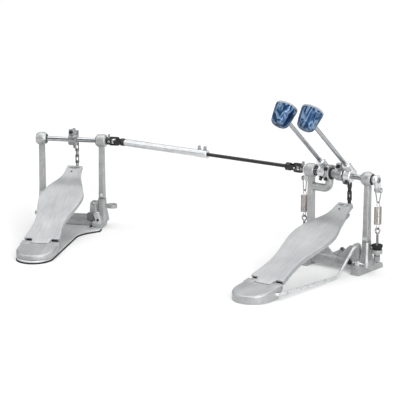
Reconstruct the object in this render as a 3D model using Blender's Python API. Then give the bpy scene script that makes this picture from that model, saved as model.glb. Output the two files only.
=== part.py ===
"""Double bass drum pedal: a primary pedal with two beaters, a slave pedal and the drive shaft between them.

Each pedal is drawn in its own frame, +X along the axle to the player's right, +Y towards the drum and +Z up,
with its origin on the floor under the middle of the axle. Sizes are in metres.
"""

from math import acos, atan2, cos, pi, radians, sin, sqrt

import bmesh
import bpy
from mathutils import Matrix, Vector

# Fits
CLEAR = 0.0003
SWIVEL_CLEAR = 0.0008

# Places of the two pedals
PRIMARY_PLACE = (0.3083, 0.1499, 0.0)
SLAVE_YAW = radians(26.4)
SHAFT_YAW = radians(2.4)
SHAFT_LENGTH = 0.437

# Frame castings
POST_SPACING = 0.128
AXLE_HEIGHT = 0.182
POST_WIDTH = 0.0135
POST_DEPTH = 0.0150
POST_CHAMFER = 0.0032
POST_TAPER = 0.0012
SEAT_HEIGHT = 0.0605
UPRIGHT_FOOT_WIDTH = 0.0230
UPRIGHT_FOOT_DEPTH = 0.0320
HOUSING_RADIUS = 0.0138
HOUSING_LENGTH = 0.0210
BEARING_RADIUS = 0.0095
BEARING_WIDTH = 0.0080
BEARING_STANDOUT = 0.0010
BEARING_GROOVE = 0.0012
FOOT_WIDTH = 0.0180
FOOT_BACK = 0.0330
FOOT_FRONT = 0.0530
SLAVE_FOOT_FRONT = 0.0220
FOOT_INSET = 0.0045
FOOT_HEIGHT = 0.0180
FOOT_TOE_HEIGHT = 0.0100
FOOT_LEVEL = 0.0160
FOOT_EASE = 0.0045
CROSSBAR_BACK = 0.0180
CROSSBAR_FRONT = 0.0030
CROSSBAR_BOTTOM = 0.0060
CROSSBAR_STEP = 0.0135
CROSSBAR_TOP = 0.0245
EAR_OFFSET = 0.0475
EAR_RADIUS = 0.0062
EAR_FOOT_RADIUS = 0.0085
EAR_BACK = 0.0130
EAR_FRONT = 0.0030
EAR_HOLE_Z = 0.0500
GUSSET_START = 0.0060
GUSSET_CREST = 0.0310
GUSSET_TOP = 0.0490
GUSSET_THICKNESS = 0.0050

# Hoop clamp
JAW_WIDTH = 0.0460
JAW_REACH = 0.0460
LOWER_JAW_WIDTH = 0.0640
LOWER_JAW_THICKNESS = 0.0040
JAW_CORNER = 0.0100
JAW_THICKNESS = 0.0055
CLAMP_PIVOT_Y = 0.0110
CLAMP_PIVOT_Z = 0.0165
CLAMP_PIN_RADIUS = 0.0025
CLAMP_BOSS_RADIUS = 0.0060
CLAMP_BOSS_WIDTH = 0.0060
HOOP_GAP = 0.0070
CLAMP_SCREW_Y = 0.0250
CLAMP_SCREW_RADIUS = 0.0025
CLAMP_SLOT_RADIUS = 0.0058
CLAMP_HEAD_RADIUS = 0.0075
CLAMP_HEAD_HEIGHT = 0.0070
WING_SPAN = 0.0240
WING_HEIGHT = 0.0080
WING_THICKNESS = 0.0035

# Axles, cams and chains
AXLE_RADIUS = 0.0050
CAM_RADIUS = 0.0240
CAM_WIDTH = 0.0048
CAM_HUB_RADIUS = 0.0120
CAM_HUB_LENGTH = 0.0160
CAM_LUG_HEIGHT = 0.0220
CAM_OFFSET = 0.0030
CAM_LUG_WIDTH = 0.0110
CHAIN_Y = 0.0315
CHAIN_TOP_ANGLE = radians(17.6)
CHAIN_PITCH = 0.0127
CHAIN_LINKS = 6
CHAIN_PLATE = 0.0010
CHAIN_PLATE_RADIUS = 0.0034
CHAIN_WAIST = 0.0027
CHAIN_PIN_RADIUS = 0.0018
CHAIN_ROLLER_RADIUS = 0.0030
CHAIN_PIN_STANDOUT = 0.0007

# Footboard and heel
HINGE_Z = 0.0190
HINGE_PIN_RADIUS = 0.0025
KNUCKLE_RADIUS = 0.0063
KNUCKLE_WIDTH = 0.0370
BOARD_LENGTH = 0.2838
BOARD_RISE = 0.0070
BOARD_START = 0.0085
BOARD_THICKNESS = 0.0030
BOARD_FLANGE = 0.0080
BOARD_HEEL_HALF = 0.0365
BOARD_WAIST_HALF = 0.0300
BOARD_WAIST_AT = 0.0650
BOARD_WIDEST_HALF = 0.0458
BOARD_WIDEST_AT = 0.1720
BOARD_TOE_HALF = 0.0160
BOARD_TOE_AT = 0.2660
BOARD_SMOOTH = 0.0140
BOARD_DISH = 0.0045
BOARD_DISH_AT = 0.2050
BOARD_STEPS = 16
CLIP_THICKNESS = 0.0030
CLIP_WIDTH = 0.0200
CLIP_LENGTH = 0.0380
CLIP_SETBACK = 0.0020
CLIP_TONGUE = 0.0022
CLIP_EYE = 0.0050
CLIP_SLOT_ALONG = 0.0026
CLIP_SLOT_DOWN = 0.0016
CLIP_SLOT_CLEAR = 0.0005
CLIP_REACH = 0.00580
CLIP_PIN_DROP = 0.00110
HEEL_DEPTH = 0.0730
HEEL_HALF_WIDTH = 0.0385
HEEL_ROUND = 0.0400
HEEL_EDGE_HEIGHT = 0.0145
HEEL_WALL = 0.0030
HEEL_CHAMFER = 0.0035
STABILISER_RADIUS = 0.0025
STABILISER_BACK = 0.0190
STABILISER_Z = 0.0110
STABILISER_BEND_Y = 0.0740
STABILISER_FLOOR = 0.0040
STABILISER_SPREAD = 0.0480

# Slave base plate
PLATE_THICKNESS = 0.0030
MAT_THICKNESS = 0.0020
PLATE_HALF_WIDTH = 0.0355
PLATE_HEEL_EDGE = 0.0065
PLATE_NECK_AT = 0.1080
PLATE_WING_HALF = 0.0700
PLATE_WING_AT = 0.0345
PLATE_WING_LENGTH = 0.0160
PLATE_TONGUE_HALF = 0.0420

# Return springs
SPRING_OFFSET = 0.0838
SPRING_Y = 0.0060
STUD_DROP = 0.0200
STUD_RADIUS = 0.0026
STUD_LENGTH = 0.0150
ROCKER_THICKNESS = 0.0030
ROCKER_GAP = 0.0008
ROCKER_HUB_RADIUS = 0.0100
ROCKER_TIP_RADIUS = 0.0055
ROCKER_BOSS_END = 0.0880
ROCKER_ARM_WIDTH = 0.0050
AXLE_END = 0.0030
STIRRUP_WIRE = 0.0011
STIRRUP_SPREAD = 0.0039
STIRRUP_BEND = 0.0028
SPRING_WIRE = 0.00090
SPRING_COIL_RADIUS = 0.0064
SPRING_CURLS = 12
SPRING_PITCH = 0.0028
SPRING_DROP = 0.0664
HOOK_RADIUS = 0.0042
HOOK_NECK = 0.0020
CURL_POINTS = 8
EYE_WIRE = 0.0016
EYE_RADIUS = 0.0048
EYE_SHANK_RADIUS = 0.0026
EYE_SHANK_BOTTOM = 0.0215
LUG_RADIUS = 0.0105
LUG_THICKNESS = 0.0075
LUG_HEIGHT = 0.0430
BOSS_REACH = 0.0190
BOSS_RADIUS = 0.0046
BOSS_HEIGHT = 0.0215
LUG_ARM = 0.0110
GROMMET_TOP_RADIUS = 0.0110
GROMMET_BOTTOM_RADIUS = 0.0085
GROMMET_HEIGHT = 0.0095
NUT_RADIUS = 0.0062
NUT_HEIGHT = 0.0150
NUT_FLUTES = 8

# Beaters
LEFT_BEATER_X = -0.0365
RIGHT_BEATER_X = 0.0213
BEATER_LEAN = radians(49.8)
BEATER_OFFSET = 0.0105
BEATER_REACH = 0.1875
BEATER_ROD_RADIUS = 0.0040
BEATER_ROD_TAIL = 0.0180
HOLDER_HUB_RADIUS = 0.0120
HOLDER_HUB_LENGTH = 0.0150
HOLDER_BARREL_RADIUS = 0.0080
HOLDER_BARREL_LENGTH = 0.0380
HOLDER_BARREL_LOW = 0.0120
HEAD_FRONT_RADIUS = 0.0213
HEAD_REAR_RADIUS = 0.0168
HEAD_LENGTH = 0.0375
HEAD_SETBACK = 0.0022
HEAD_ROD_DEPTH = 0.0120
FACE_THICKNESS = 0.0045
FACE_CROWN = 0.0020

# Centre bearing arm
ARM_X = -0.0225
ARM_PLATE = 0.0080
ARM_HEAD_RADIUS = 0.0135
ARM_DROP = 0.0310
ARM_DEPTH = 0.0150
ARM_HEIGHT = 0.0150
AXLE_END_GAP = 0.0010

# Drive shaft
JOINT_REACH = 0.0110
YOKE_HUB_LENGTH = 0.0110
YOKE_HUB_RADIUS = 0.0078
YOKE_ARM_GAP = 0.0056
YOKE_ARM_THICKNESS = 0.0030
YOKE_ARM_HALF = 0.0046
CROSS_PIN_RADIUS = 0.0022
CROSS_PIN_REACH = 0.0082
CROSS_BODY = 0.0076
YOKE_GAP = 0.0005
TUBE_RADIUS = 0.0074
TUBE_LENGTH = 0.2070
TUBE_BORE_RADIUS = 0.0043
ROD_RADIUS = 0.0036
ROD_ENGAGED = 0.1150
SPIGOT_LENGTH = 0.0160

# Facets
ROUND = 12
FINE = 16
SMALL = 8

POST_X = POST_SPACING / 2
CHAIN_ARM = CHAIN_Y / cos(CHAIN_TOP_ANGLE)
CHAIN_TOP_Z = AXLE_HEIGHT + CHAIN_ARM * sin(CHAIN_TOP_ANGLE)
CHAIN_LENGTH = CHAIN_PITCH * CHAIN_LINKS
CHAIN_LOW_Z = CHAIN_TOP_Z - CHAIN_LENGTH
BOARD_SPAN = BOARD_LENGTH + CLIP_REACH
HINGE_Y = sqrt(BOARD_SPAN**2 + CLIP_PIN_DROP**2 - (CHAIN_LOW_Z - HINGE_Z) ** 2) - CHAIN_Y
BOARD_PITCH = atan2(CHAIN_LOW_Z - HINGE_Z, HINGE_Y + CHAIN_Y) + atan2(CLIP_PIN_DROP, BOARD_SPAN)
STABILISER_Y = HINGE_Y + STABILISER_BACK
STUD_Z = AXLE_HEIGHT - STUD_DROP
SPRING_BOTTOM = STUD_Z - SPRING_DROP
ROCKER_X = POST_X + HOUSING_LENGTH / 2 + ROCKER_GAP
MAIN_AXLE_END = ROCKER_BOSS_END - AXLE_END
YOKE_REACH = JOINT_REACH + YOKE_HUB_LENGTH
PRIMARY_JOINT_X = -(ROCKER_X + ROCKER_THICKNESS + YOKE_GAP + YOKE_REACH)
SLAVE_JOINT_X = POST_X + HOUSING_LENGTH / 2 + YOKE_GAP + YOKE_REACH


def clear_scene():
    """Empty the scene that the part is drawn in."""
    for item in list(bpy.data.objects):
        bpy.data.objects.remove(item, do_unlink=True)


def make_material(name, colour, roughness, metallic):
    """Return a plain material with the photographed colour."""
    material = bpy.data.materials.new(name)
    material.use_nodes = True
    shader = material.node_tree.nodes["Principled BSDF"]
    shader.inputs["Base Color"].default_value = (*colour, 1.0)
    shader.inputs["Roughness"].default_value = roughness
    shader.inputs["Metallic"].default_value = metallic
    return material


def to_object(bm, name="shape"):
    """Turn a bmesh into an object with its faces pointing out."""
    bmesh.ops.recalc_face_normals(bm, faces=bm.faces)
    mesh = bpy.data.meshes.new(name)
    bm.to_mesh(mesh)
    bm.free()
    item = bpy.data.objects.new(name, mesh)
    bpy.context.scene.collection.objects.link(item)
    return item


def evaluated(item):
    """Give an object the mesh that its modifiers or its curve make."""
    bpy.context.view_layer.update()
    graph = bpy.context.evaluated_depsgraph_get()
    return bpy.data.meshes.new_from_object(item.evaluated_get(graph))


def combine(target, tools, operation):
    """Join the tools to the target, or cut them from it, and remove them."""
    for tool in tools:
        modifier = target.modifiers.new("combine", "BOOLEAN")
        modifier.operation = operation
        modifier.solver = "MANIFOLD"
        modifier.object = tool
        mesh = evaluated(target)
        target.modifiers.clear()
        target.data = mesh
        bpy.data.objects.remove(tool, do_unlink=True)
    return target


def join(target, *tools):
    """Union the tools into the target."""
    return combine(target, tools, "UNION")


def cut(target, *tools):
    """Cut the tools out of the target."""
    return combine(target, tools, "DIFFERENCE")


def moved(item, matrix):
    """Move an object's mesh."""
    item.data.transform(matrix)
    return item


def shifted(item, x=0.0, y=0.0, z=0.0):
    """Shift an object's mesh."""
    return moved(item, Matrix.Translation((x, y, z)))


AXIS_TURN = {
    "X": Matrix.Rotation(pi / 2, 4, "Y"),
    "Y": Matrix.Rotation(-pi / 2, 4, "X"),
    "Z": Matrix.Identity(4),
}


def turned(profile, axis="Z", steps=ROUND):
    """Revolve (along, radius) points round an axis; a closed profile makes a ring."""
    bm = bmesh.new()
    points = [bm.verts.new((radius, 0.0, along)) for along, radius in profile]
    edges = [bm.edges.new(pair) for pair in zip(points, points[1:])]
    if min(radius for along, radius in profile) > 0.0:
        edges.append(bm.edges.new((points[-1], points[0])))
    bmesh.ops.spin(
        bm,
        geom=points + edges,
        cent=(0.0, 0.0, 0.0),
        axis=(0.0, 0.0, 1.0),
        angle=2 * pi,
        steps=steps,
        use_merge=True,
    )
    bmesh.ops.remove_doubles(bm, verts=bm.verts, dist=1e-7)
    return moved(to_object(bm), AXIS_TURN[axis])


def rod(start, end, radius, axis="Z", steps=ROUND):
    """Return a round bar between two places along an axis through the origin."""
    return turned([(start, 0.0), (start, radius), (end, radius), (end, 0.0)], axis, steps)


def ring(start, end, inner, outer, axis="Z", steps=ROUND):
    """Return a plain bush along an axis through the origin."""
    profile = [(start, inner), (start, outer), (end, outer), (end, inner)]
    return turned(profile, axis, steps)


def prism(outline, start, end, axis="Z"):
    """Extrude a closed outline; along X it holds (y, z), along Y (x, z) and along Z (x, y) points."""
    bm = bmesh.new()
    places = {
        "X": lambda a, b: (start, a, b),
        "Y": lambda a, b: (a, start, b),
        "Z": lambda a, b: (a, b, start),
    }
    face = bm.faces.new([bm.verts.new(places[axis](a, b)) for a, b in outline])
    grown = bmesh.ops.extrude_face_region(bm, geom=[face])
    offset = Vector([(end - start) if name == axis else 0.0 for name in "XYZ"])
    bmesh.ops.translate(
        bm,
        vec=offset,
        verts=[part for part in grown["geom"] if isinstance(part, bmesh.types.BMVert)],
    )
    return to_object(bm)


def block(low, high):
    """Return a box between two corners."""
    outline = [(low[0], low[1]), (high[0], low[1]), (high[0], high[1]), (low[0], high[1])]
    return prism(outline, low[2], high[2])


def loft(sections):
    """Skin a row of closed sections that have as many points each, with flat ends."""
    bm = bmesh.new()
    loops = [[bm.verts.new(point) for point in section] for section in sections]
    count = len(loops[0])
    for low, high in zip(loops, loops[1:]):
        for index in range(count):
            after = (index + 1) % count
            bm.faces.new((low[index], low[after], high[after], high[index]))
    bm.faces.new(list(reversed(loops[0])))
    bm.faces.new(loops[-1])
    return to_object(bm)


def wire(points, radius, cyclic=False, resolution=1):
    """Return a round wire along a row of points."""
    curve = bpy.data.curves.new("wire", "CURVE")
    curve.dimensions = "3D"
    curve.bevel_depth = radius
    curve.bevel_resolution = resolution
    curve.use_fill_caps = not cyclic
    spline = curve.splines.new("POLY")
    spline.points.add(len(points) - 1)
    for slot, point in zip(spline.points, points):
        slot.co = (*point, 1.0)
    spline.use_cyclic_u = cyclic
    item = bpy.data.objects.new("wire", curve)
    bpy.context.scene.collection.objects.link(item)
    bm = bmesh.new()
    bm.from_mesh(evaluated(item))
    bmesh.ops.remove_doubles(bm, verts=bm.verts, dist=1e-6)
    bpy.data.objects.remove(item, do_unlink=True)
    return to_object(bm)


def arc(centre, radius, start, end, steps):
    """Return the points of an arc in a plane."""
    angles = [start + (end - start) * step / steps for step in range(steps + 1)]
    return [(centre[0] + radius * cos(a), centre[1] + radius * sin(a)) for a in angles]


def rounded_route(points, radius, steps=4):
    """Return a route with each inner corner rounded."""
    route = [Vector(points[0])]
    for before, corner, after in zip(points, points[1:], points[2:]):
        corner = Vector(corner)
        back = (Vector(before) - corner).normalized()
        ahead = (Vector(after) - corner).normalized()
        for step in range(steps + 1):
            share = step / steps
            first = corner + back * radius * (1 - share)
            second = corner + ahead * radius * share
            route.append(first.lerp(second, share))
    route.append(Vector(points[-1]))
    return route


def chamfered(width, depth, chamfer):
    """Return the eight corners of a chamfered rectangle."""
    w, d, c = width / 2, depth / 2, chamfer
    return [
        (w, -d + c),
        (w, d - c),
        (w - c, d),
        (-w + c, d),
        (-w, d - c),
        (-w, -d + c),
        (-w + c, -d),
        (w - c, -d),
    ]


def hull_outline(circles, steps):
    """Return the outline of a strap round two circles, each (a, b, radius)."""
    (a0, b0, r0), (a1, b1, r1) = circles
    heading = atan2(b1 - b0, a1 - a0)
    spread = acos((r0 - r1) / sqrt((a1 - a0) ** 2 + (b1 - b0) ** 2))
    first = arc((a0, b0), r0, heading + spread, heading + 2 * pi - spread, steps)
    second = arc((a1, b1), r1, heading - spread, heading + spread, steps)
    return first + second


def finish(item, name, material, pedal, origin, sharp=35.0):
    """Name a sub-part, shade it and put its origin where it turns or sits."""
    origin = Vector(origin)
    item.name = name
    item.data.name = name
    item.data.transform(Matrix.Translation(-origin))
    item.data.materials.clear()
    item.data.materials.append(material)
    item.data.shade_smooth()
    item.data.set_sharp_from_angle(angle=radians(sharp))
    item.parent = pedal
    item.location = origin
    return item


# Frame castings


def make_base(foot_front, clamp, lugs):
    """Return a frame casting: feet, uprights, crossbar, rod ears, spring lugs and, with a clamp, its lower jaw."""
    bar = [
        (-CROSSBAR_BACK, CROSSBAR_BOTTOM),
        (-CROSSBAR_BACK, CROSSBAR_STEP),
        (-CROSSBAR_BACK + 0.004, CROSSBAR_STEP + 0.001),
        (-CROSSBAR_BACK + 0.004, CROSSBAR_TOP - 0.0025),
        (-CROSSBAR_BACK + 0.0065, CROSSBAR_TOP),
        (CROSSBAR_FRONT, CROSSBAR_TOP),
        (CROSSBAR_FRONT, CROSSBAR_BOTTOM),
    ]
    base = prism(bar, -POST_X, POST_X, "X")
    tools = []
    cutters = []
    for side in (-1, 1):
        tools += foot_pieces(side, foot_front, side in lugs)
        if side in lugs:
            shank = rod(0.0, 0.1, EYE_SHANK_RADIUS + CLEAR, "Z", SMALL)
            cutters.append(shifted(shank, side * SPRING_OFFSET, SPRING_Y))
        rod_hole = rod(-EAR_BACK * 2, EAR_BACK, STABILISER_RADIUS + CLEAR, "Y", SMALL)
        cutters.append(shifted(rod_hole, side * EAR_OFFSET, 0.0, EAR_HOLE_Z))
    if clamp:
        tools += clamp_seats() + [make_gusset(-1), make_gusset(1)]
        pin_hole = rod(-0.1, 0.1, CLAMP_PIN_RADIUS + CLEAR, "X", SMALL)
        cutters.append(shifted(pin_hole, 0.0, CLAMP_PIVOT_Y, CLAMP_PIVOT_Z))
        screw_hole = rod(0.0, 0.03, CLAMP_SCREW_RADIUS + CLEAR, "Z", SMALL)
        cutters.append(shifted(screw_hole, 0.0, CLAMP_SCREW_Y))
    join(base, *tools)
    return cut(base, *cutters)


def clamp_seats():
    """Return the lower jaw of the hoop clamp and the two bosses for the upper jaw's pin."""
    half = LOWER_JAW_WIDTH / 2
    jaw_top = CROSSBAR_BOTTOM + LOWER_JAW_THICKNESS
    corner = JAW_CORNER
    jaw = [
        (-half, 0.0),
        (half, 0.0),
        (half, JAW_REACH - corner),
        (half - corner, JAW_REACH),
        (-half + corner, JAW_REACH),
        (-half, JAW_REACH - corner),
    ]
    pieces = [prism(jaw, CROSSBAR_BOTTOM + 0.0005, jaw_top)]
    boss = hull_outline(
        [
            (CLAMP_PIVOT_Y, CLAMP_PIVOT_Z, CLAMP_BOSS_RADIUS),
            (CLAMP_PIVOT_Y, CROSSBAR_BOTTOM + CLAMP_BOSS_RADIUS, CLAMP_BOSS_RADIUS - 0.0001),
        ],
        4,
    )
    start = JAW_WIDTH / 2 + CLEAR
    for side in (-1, 1):
        ends = sorted((side * start, side * (start + CLAMP_BOSS_WIDTH)))
        pieces.append(prism(boss, ends[0], ends[1], "X"))
    return pieces


def foot_pieces(side, foot_front, lug):
    """Return one side's foot, upright and rod ear, and its spring lug or the plain boss in its stead."""
    x = side * POST_X
    foot = [
        (-FOOT_BACK, 0.0),
        (-FOOT_BACK, FOOT_HEIGHT - FOOT_EASE),
        (-FOOT_BACK + FOOT_EASE, FOOT_HEIGHT),
        (FOOT_LEVEL, FOOT_HEIGHT),
        (foot_front - FOOT_EASE, FOOT_TOE_HEIGHT),
        (foot_front, FOOT_TOE_HEIGHT - FOOT_EASE),
        (foot_front, 0.0),
    ]
    middle = x - side * FOOT_INSET
    pieces = [prism(foot, middle - FOOT_WIDTH / 2, middle + FOOT_WIDTH / 2, "X")]
    levels = (
        (FOOT_HEIGHT - 0.006, UPRIGHT_FOOT_WIDTH, UPRIGHT_FOOT_DEPTH),
        (FOOT_HEIGHT + 0.008, UPRIGHT_FOOT_WIDTH - 0.003, UPRIGHT_FOOT_DEPTH - 0.006),
        (SEAT_HEIGHT - 0.018, POST_WIDTH + POST_TAPER + 0.001, POST_DEPTH + POST_TAPER + 0.002),
        (SEAT_HEIGHT, POST_WIDTH + POST_TAPER, POST_DEPTH + POST_TAPER),
    )
    sections = []
    for z, width, depth in levels:
        corners = chamfered(width, depth, POST_CHAMFER)
        sections.append([(x + a, b, z) for a, b in corners])
    pieces.append(loft(sections))
    low, high = LUG_HEIGHT - LUG_THICKNESS / 2, LUG_HEIGHT + LUG_THICKNESS / 2
    if lug:
        pieces.append(shifted(rod(low, high, LUG_RADIUS), side * SPRING_OFFSET, SPRING_Y))
        ends = sorted((x, side * (SPRING_OFFSET - EYE_SHANK_RADIUS - 0.002)))
        near = SPRING_Y - LUG_ARM / 2
        pieces.append(block((ends[0], near, low + 0.0008), (ends[1], near + LUG_ARM, high - 0.0008)))
    else:
        ends = sorted((x, x + side * BOSS_REACH))
        pieces.append(shifted(rod(ends[0], ends[1], BOSS_RADIUS, "X"), 0.0, SPRING_Y, BOSS_HEIGHT))
    middle = side * EAR_OFFSET
    ear = hull_outline(
        [(middle, EAR_HOLE_Z, EAR_RADIUS), (middle, CROSSBAR_STEP + EAR_FOOT_RADIUS, EAR_FOOT_RADIUS)],
        8,
    )
    pieces.append(prism(ear, -EAR_BACK, -EAR_FRONT, "Y"))
    return pieces


def make_gusset(side):
    """Return the sloped web that runs from the crossbar up to one ear."""
    low = CROSSBAR_TOP - 0.003
    outline = [
        (side * GUSSET_START, low),
        (side * GUSSET_START, CROSSBAR_TOP + 0.0005),
        (side * GUSSET_CREST, GUSSET_TOP),
        (side * EAR_OFFSET, GUSSET_TOP + 0.0015),
        (side * EAR_OFFSET, low),
    ]
    return prism(outline, -EAR_FRONT - GUSSET_THICKNESS - 0.001, -EAR_FRONT - 0.001, "Y")


def make_post(side, blind=False):
    """Return one post with its bearing housing, bored from the inner side."""
    x = side * POST_X
    grow = POST_TAPER
    levels = (
        (SEAT_HEIGHT + CLEAR, POST_WIDTH + grow, POST_DEPTH + grow),
        (SEAT_HEIGHT + 0.030, POST_WIDTH, POST_DEPTH),
        (AXLE_HEIGHT - 0.004, POST_WIDTH - grow, POST_DEPTH - grow),
    )
    sections = []
    for z, width, depth in levels:
        corners = chamfered(width, depth, POST_CHAMFER)
        sections.append([(x + a, b, z) for a, b in corners])
    post = loft(sections)
    half, r = HOUSING_LENGTH / 2, HOUSING_RADIUS
    profile = [
        (-half, 0.0),
        (-half, r * 0.76),
        (-half * 0.55, r),
        (half * 0.55, r),
        (half, r * 0.76),
        (half, 0.0),
    ]
    join(post, shifted(turned(profile, "X", FINE), x, 0.0, AXLE_HEIGHT))
    inner = x - side * half
    deep = inner + side * (BEARING_WIDTH - BEARING_STANDOUT + CLEAR)
    through = x + side * (half * 0.5 if blind else half * 2)
    pocket = sorted((inner - side * 0.01, deep))
    passage = sorted((inner, through))
    return cut(
        post,
        shifted(rod(pocket[0], pocket[1], BEARING_RADIUS + CLEAR, "X", FINE), 0.0, 0.0, AXLE_HEIGHT),
        shifted(rod(passage[0], passage[1], AXLE_RADIUS + SWIVEL_CLEAR, "X"), 0.0, 0.0, AXLE_HEIGHT),
    )


def make_bearing(start, end, side):
    """Return a shielded ball bearing, its shield set back from the rim of the face that shows."""
    bore, outer = AXLE_RADIUS + CLEAR, BEARING_RADIUS
    race = outer - BEARING_GROOVE
    shown, hidden = (start, end) if side > 0 else (end, start)
    recess = shown + side * BEARING_GROOVE
    profile = [(recess, bore), (recess, race), (shown, race), (shown, outer), (hidden, outer), (hidden, bore)]
    return shifted(turned(profile, "X"), 0.0, 0.0, AXLE_HEIGHT)


def bearing_span(side):
    """Return the two ends along X of a post's bearing."""
    inner = side * (POST_X - HOUSING_LENGTH / 2)
    return sorted((inner - side * BEARING_STANDOUT, inner + side * (BEARING_WIDTH - BEARING_STANDOUT)))


def make_centre_arm():
    """Return the bracket that carries the centre bearing from the left post."""
    near = -POST_X + POST_WIDTH / 2 + CLEAR
    low = AXLE_HEIGHT - ARM_DROP - ARM_HEIGHT / 2
    far = ARM_X + ARM_PLATE / 2
    half = ARM_DEPTH / 2
    arm = block((near, -half, low), (far, half, low + ARM_HEIGHT))
    flange = block((near, -half, low - 0.006), (near + 0.005, half, low + ARM_HEIGHT + 0.006))
    head = hull_outline(
        [(0.0, AXLE_HEIGHT, ARM_HEAD_RADIUS), (0.0, low + 0.0065, half)],
        10,
    )
    join(arm, flange, prism(head, ARM_X - ARM_PLATE / 2 + 0.0001, far + 0.0001, "X"))
    bore = rod(ARM_X - 0.02, ARM_X + 0.02, BEARING_RADIUS + CLEAR, "X", FINE)
    return cut(arm, shifted(bore, 0.0, 0.0, AXLE_HEIGHT))


# Hoop clamp


def make_clamp_pin():
    """Return the pin that the upper jaw turns on."""
    half = JAW_WIDTH / 2 + CLEAR + CLAMP_BOSS_WIDTH + 0.0005
    return shifted(rod(-half, half, CLAMP_PIN_RADIUS, "X", SMALL), 0.0, CLAMP_PIVOT_Y, CLAMP_PIVOT_Z)


def make_clamp_jaw():
    """Return the upper jaw, a lever from its pivot forward over the drum hoop."""
    lip = CROSSBAR_BOTTOM + LOWER_JAW_THICKNESS + HOOP_GAP
    top = CLAMP_PIVOT_Z + JAW_THICKNESS
    profile = arc((CLAMP_PIVOT_Y, CLAMP_PIVOT_Z), JAW_THICKNESS, radians(90), radians(270), 6)
    profile += [
        (CLAMP_SCREW_Y, CLAMP_PIVOT_Z - JAW_THICKNESS + 0.0015),
        (JAW_REACH - 0.012, lip + 0.001),
        (JAW_REACH - 0.003, lip),
        (JAW_REACH, lip + 0.003),
        (JAW_REACH - 0.004, lip + JAW_THICKNESS + 0.001),
        (CLAMP_SCREW_Y + CLAMP_HEAD_RADIUS, top),
    ]
    half = JAW_WIDTH / 2
    jaw = prism(profile, -half, half, "X")
    return cut(
        jaw,
        shifted(rod(-0.1, 0.1, CLAMP_PIN_RADIUS + CLEAR, "X", SMALL), 0.0, CLAMP_PIVOT_Y, CLAMP_PIVOT_Z),
        shifted(rod(0.0, 0.1, CLAMP_SLOT_RADIUS, "Z", ROUND), 0.0, CLAMP_SCREW_Y),
    )


def make_clamp_screw():
    """Return the wing screw that draws the jaw down on the hoop."""
    seat = CLAMP_PIVOT_Z + JAW_THICKNESS + CLEAR
    head = seat + CLAMP_HEAD_HEIGHT
    profile = [
        (CROSSBAR_BOTTOM - 0.002, 0.0),
        (CROSSBAR_BOTTOM - 0.002, CLAMP_SCREW_RADIUS),
        (seat, CLAMP_SCREW_RADIUS),
        (seat, CLAMP_HEAD_RADIUS),
        (head, CLAMP_HEAD_RADIUS * 0.75),
        (head, 0.0),
    ]
    half = WING_SPAN / 2
    wing = [
        (-CLAMP_HEAD_RADIUS * 0.7, seat + 0.002),
        (CLAMP_HEAD_RADIUS * 0.7, seat + 0.002),
        (half, head + 0.001),
        (half - 0.002, head + WING_HEIGHT - 0.005),
        (half - 0.006, head + WING_HEIGHT - 0.004),
        (0.0, head),
        (-half + 0.006, head + WING_HEIGHT - 0.004),
        (-half + 0.002, head + WING_HEIGHT - 0.005),
        (-half, head + 0.001),
    ]
    screw = turned(profile, "Z", SMALL)
    join(screw, prism(wing, -WING_THICKNESS / 2, WING_THICKNESS / 2, "Y"))
    return shifted(screw, 0.0, CLAMP_SCREW_Y)


# Axles, cams and chains


def make_axle(start, end):
    """Return a plain axle along X at the axle height."""
    lead = 0.0008
    profile = [
        (start, 0.0),
        (start, AXLE_RADIUS - lead),
        (start + lead, AXLE_RADIUS),
        (end - lead, AXLE_RADIUS),
        (end, AXLE_RADIUS - lead),
        (end, 0.0),
    ]
    return shifted(turned(profile, "X"), 0.0, 0.0, AXLE_HEIGHT)


def make_cam():
    """Return the chain cam: a hub with its clamp lug, a rim sector and the nose that the chain hangs from."""
    half = CAM_HUB_LENGTH / 2
    cam = rod(-half, half, CAM_HUB_RADIUS, "X")
    rim = [(0.0, 0.0)] + arc((0.0, 0.0), CAM_RADIUS, radians(-62), radians(75), 12)
    nose = hull_outline(
        [
            (0.0, 0.0, CAM_HUB_RADIUS * 0.7),
            (CHAIN_Y, CHAIN_ARM * sin(CHAIN_TOP_ANGLE), CHAIN_PLATE_RADIUS),
        ],
        8,
    )
    lug_half = CAM_LUG_WIDTH / 2
    lug = block((-half, -lug_half, 0.0), (-half + CAM_LUG_WIDTH, lug_half, CAM_LUG_HEIGHT))
    wide = CAM_WIDTH / 2
    join(cam, prism(rim, -wide, wide, "X"), prism(nose, -wide + 0.0002, wide - 0.0002, "X"), lug)
    anchor = rod(-0.01, 0.01, CHAIN_PIN_RADIUS + CLEAR, "X", SMALL)
    shifted(anchor, 0.0, CHAIN_Y, CHAIN_ARM * sin(CHAIN_TOP_ANGLE))
    cut(cam, rod(-0.05, 0.05, AXLE_RADIUS + CLEAR, "X"), anchor)
    return shifted(cam, CAM_OFFSET, 0.0, AXLE_HEIGHT)


def link_outline(low, high):
    """Return the waisted outline, in Y and Z, of a link plate between two pins."""
    r, waist, middle = CHAIN_PLATE_RADIUS, CHAIN_WAIST, (low + high) / 2
    lower = arc((0.0, low), r, radians(-195), radians(15), 3)
    upper = arc((0.0, high), r, radians(-15), radians(195), 3)
    return lower + [(waist, middle)] + upper + [(-waist, middle)]


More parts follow.
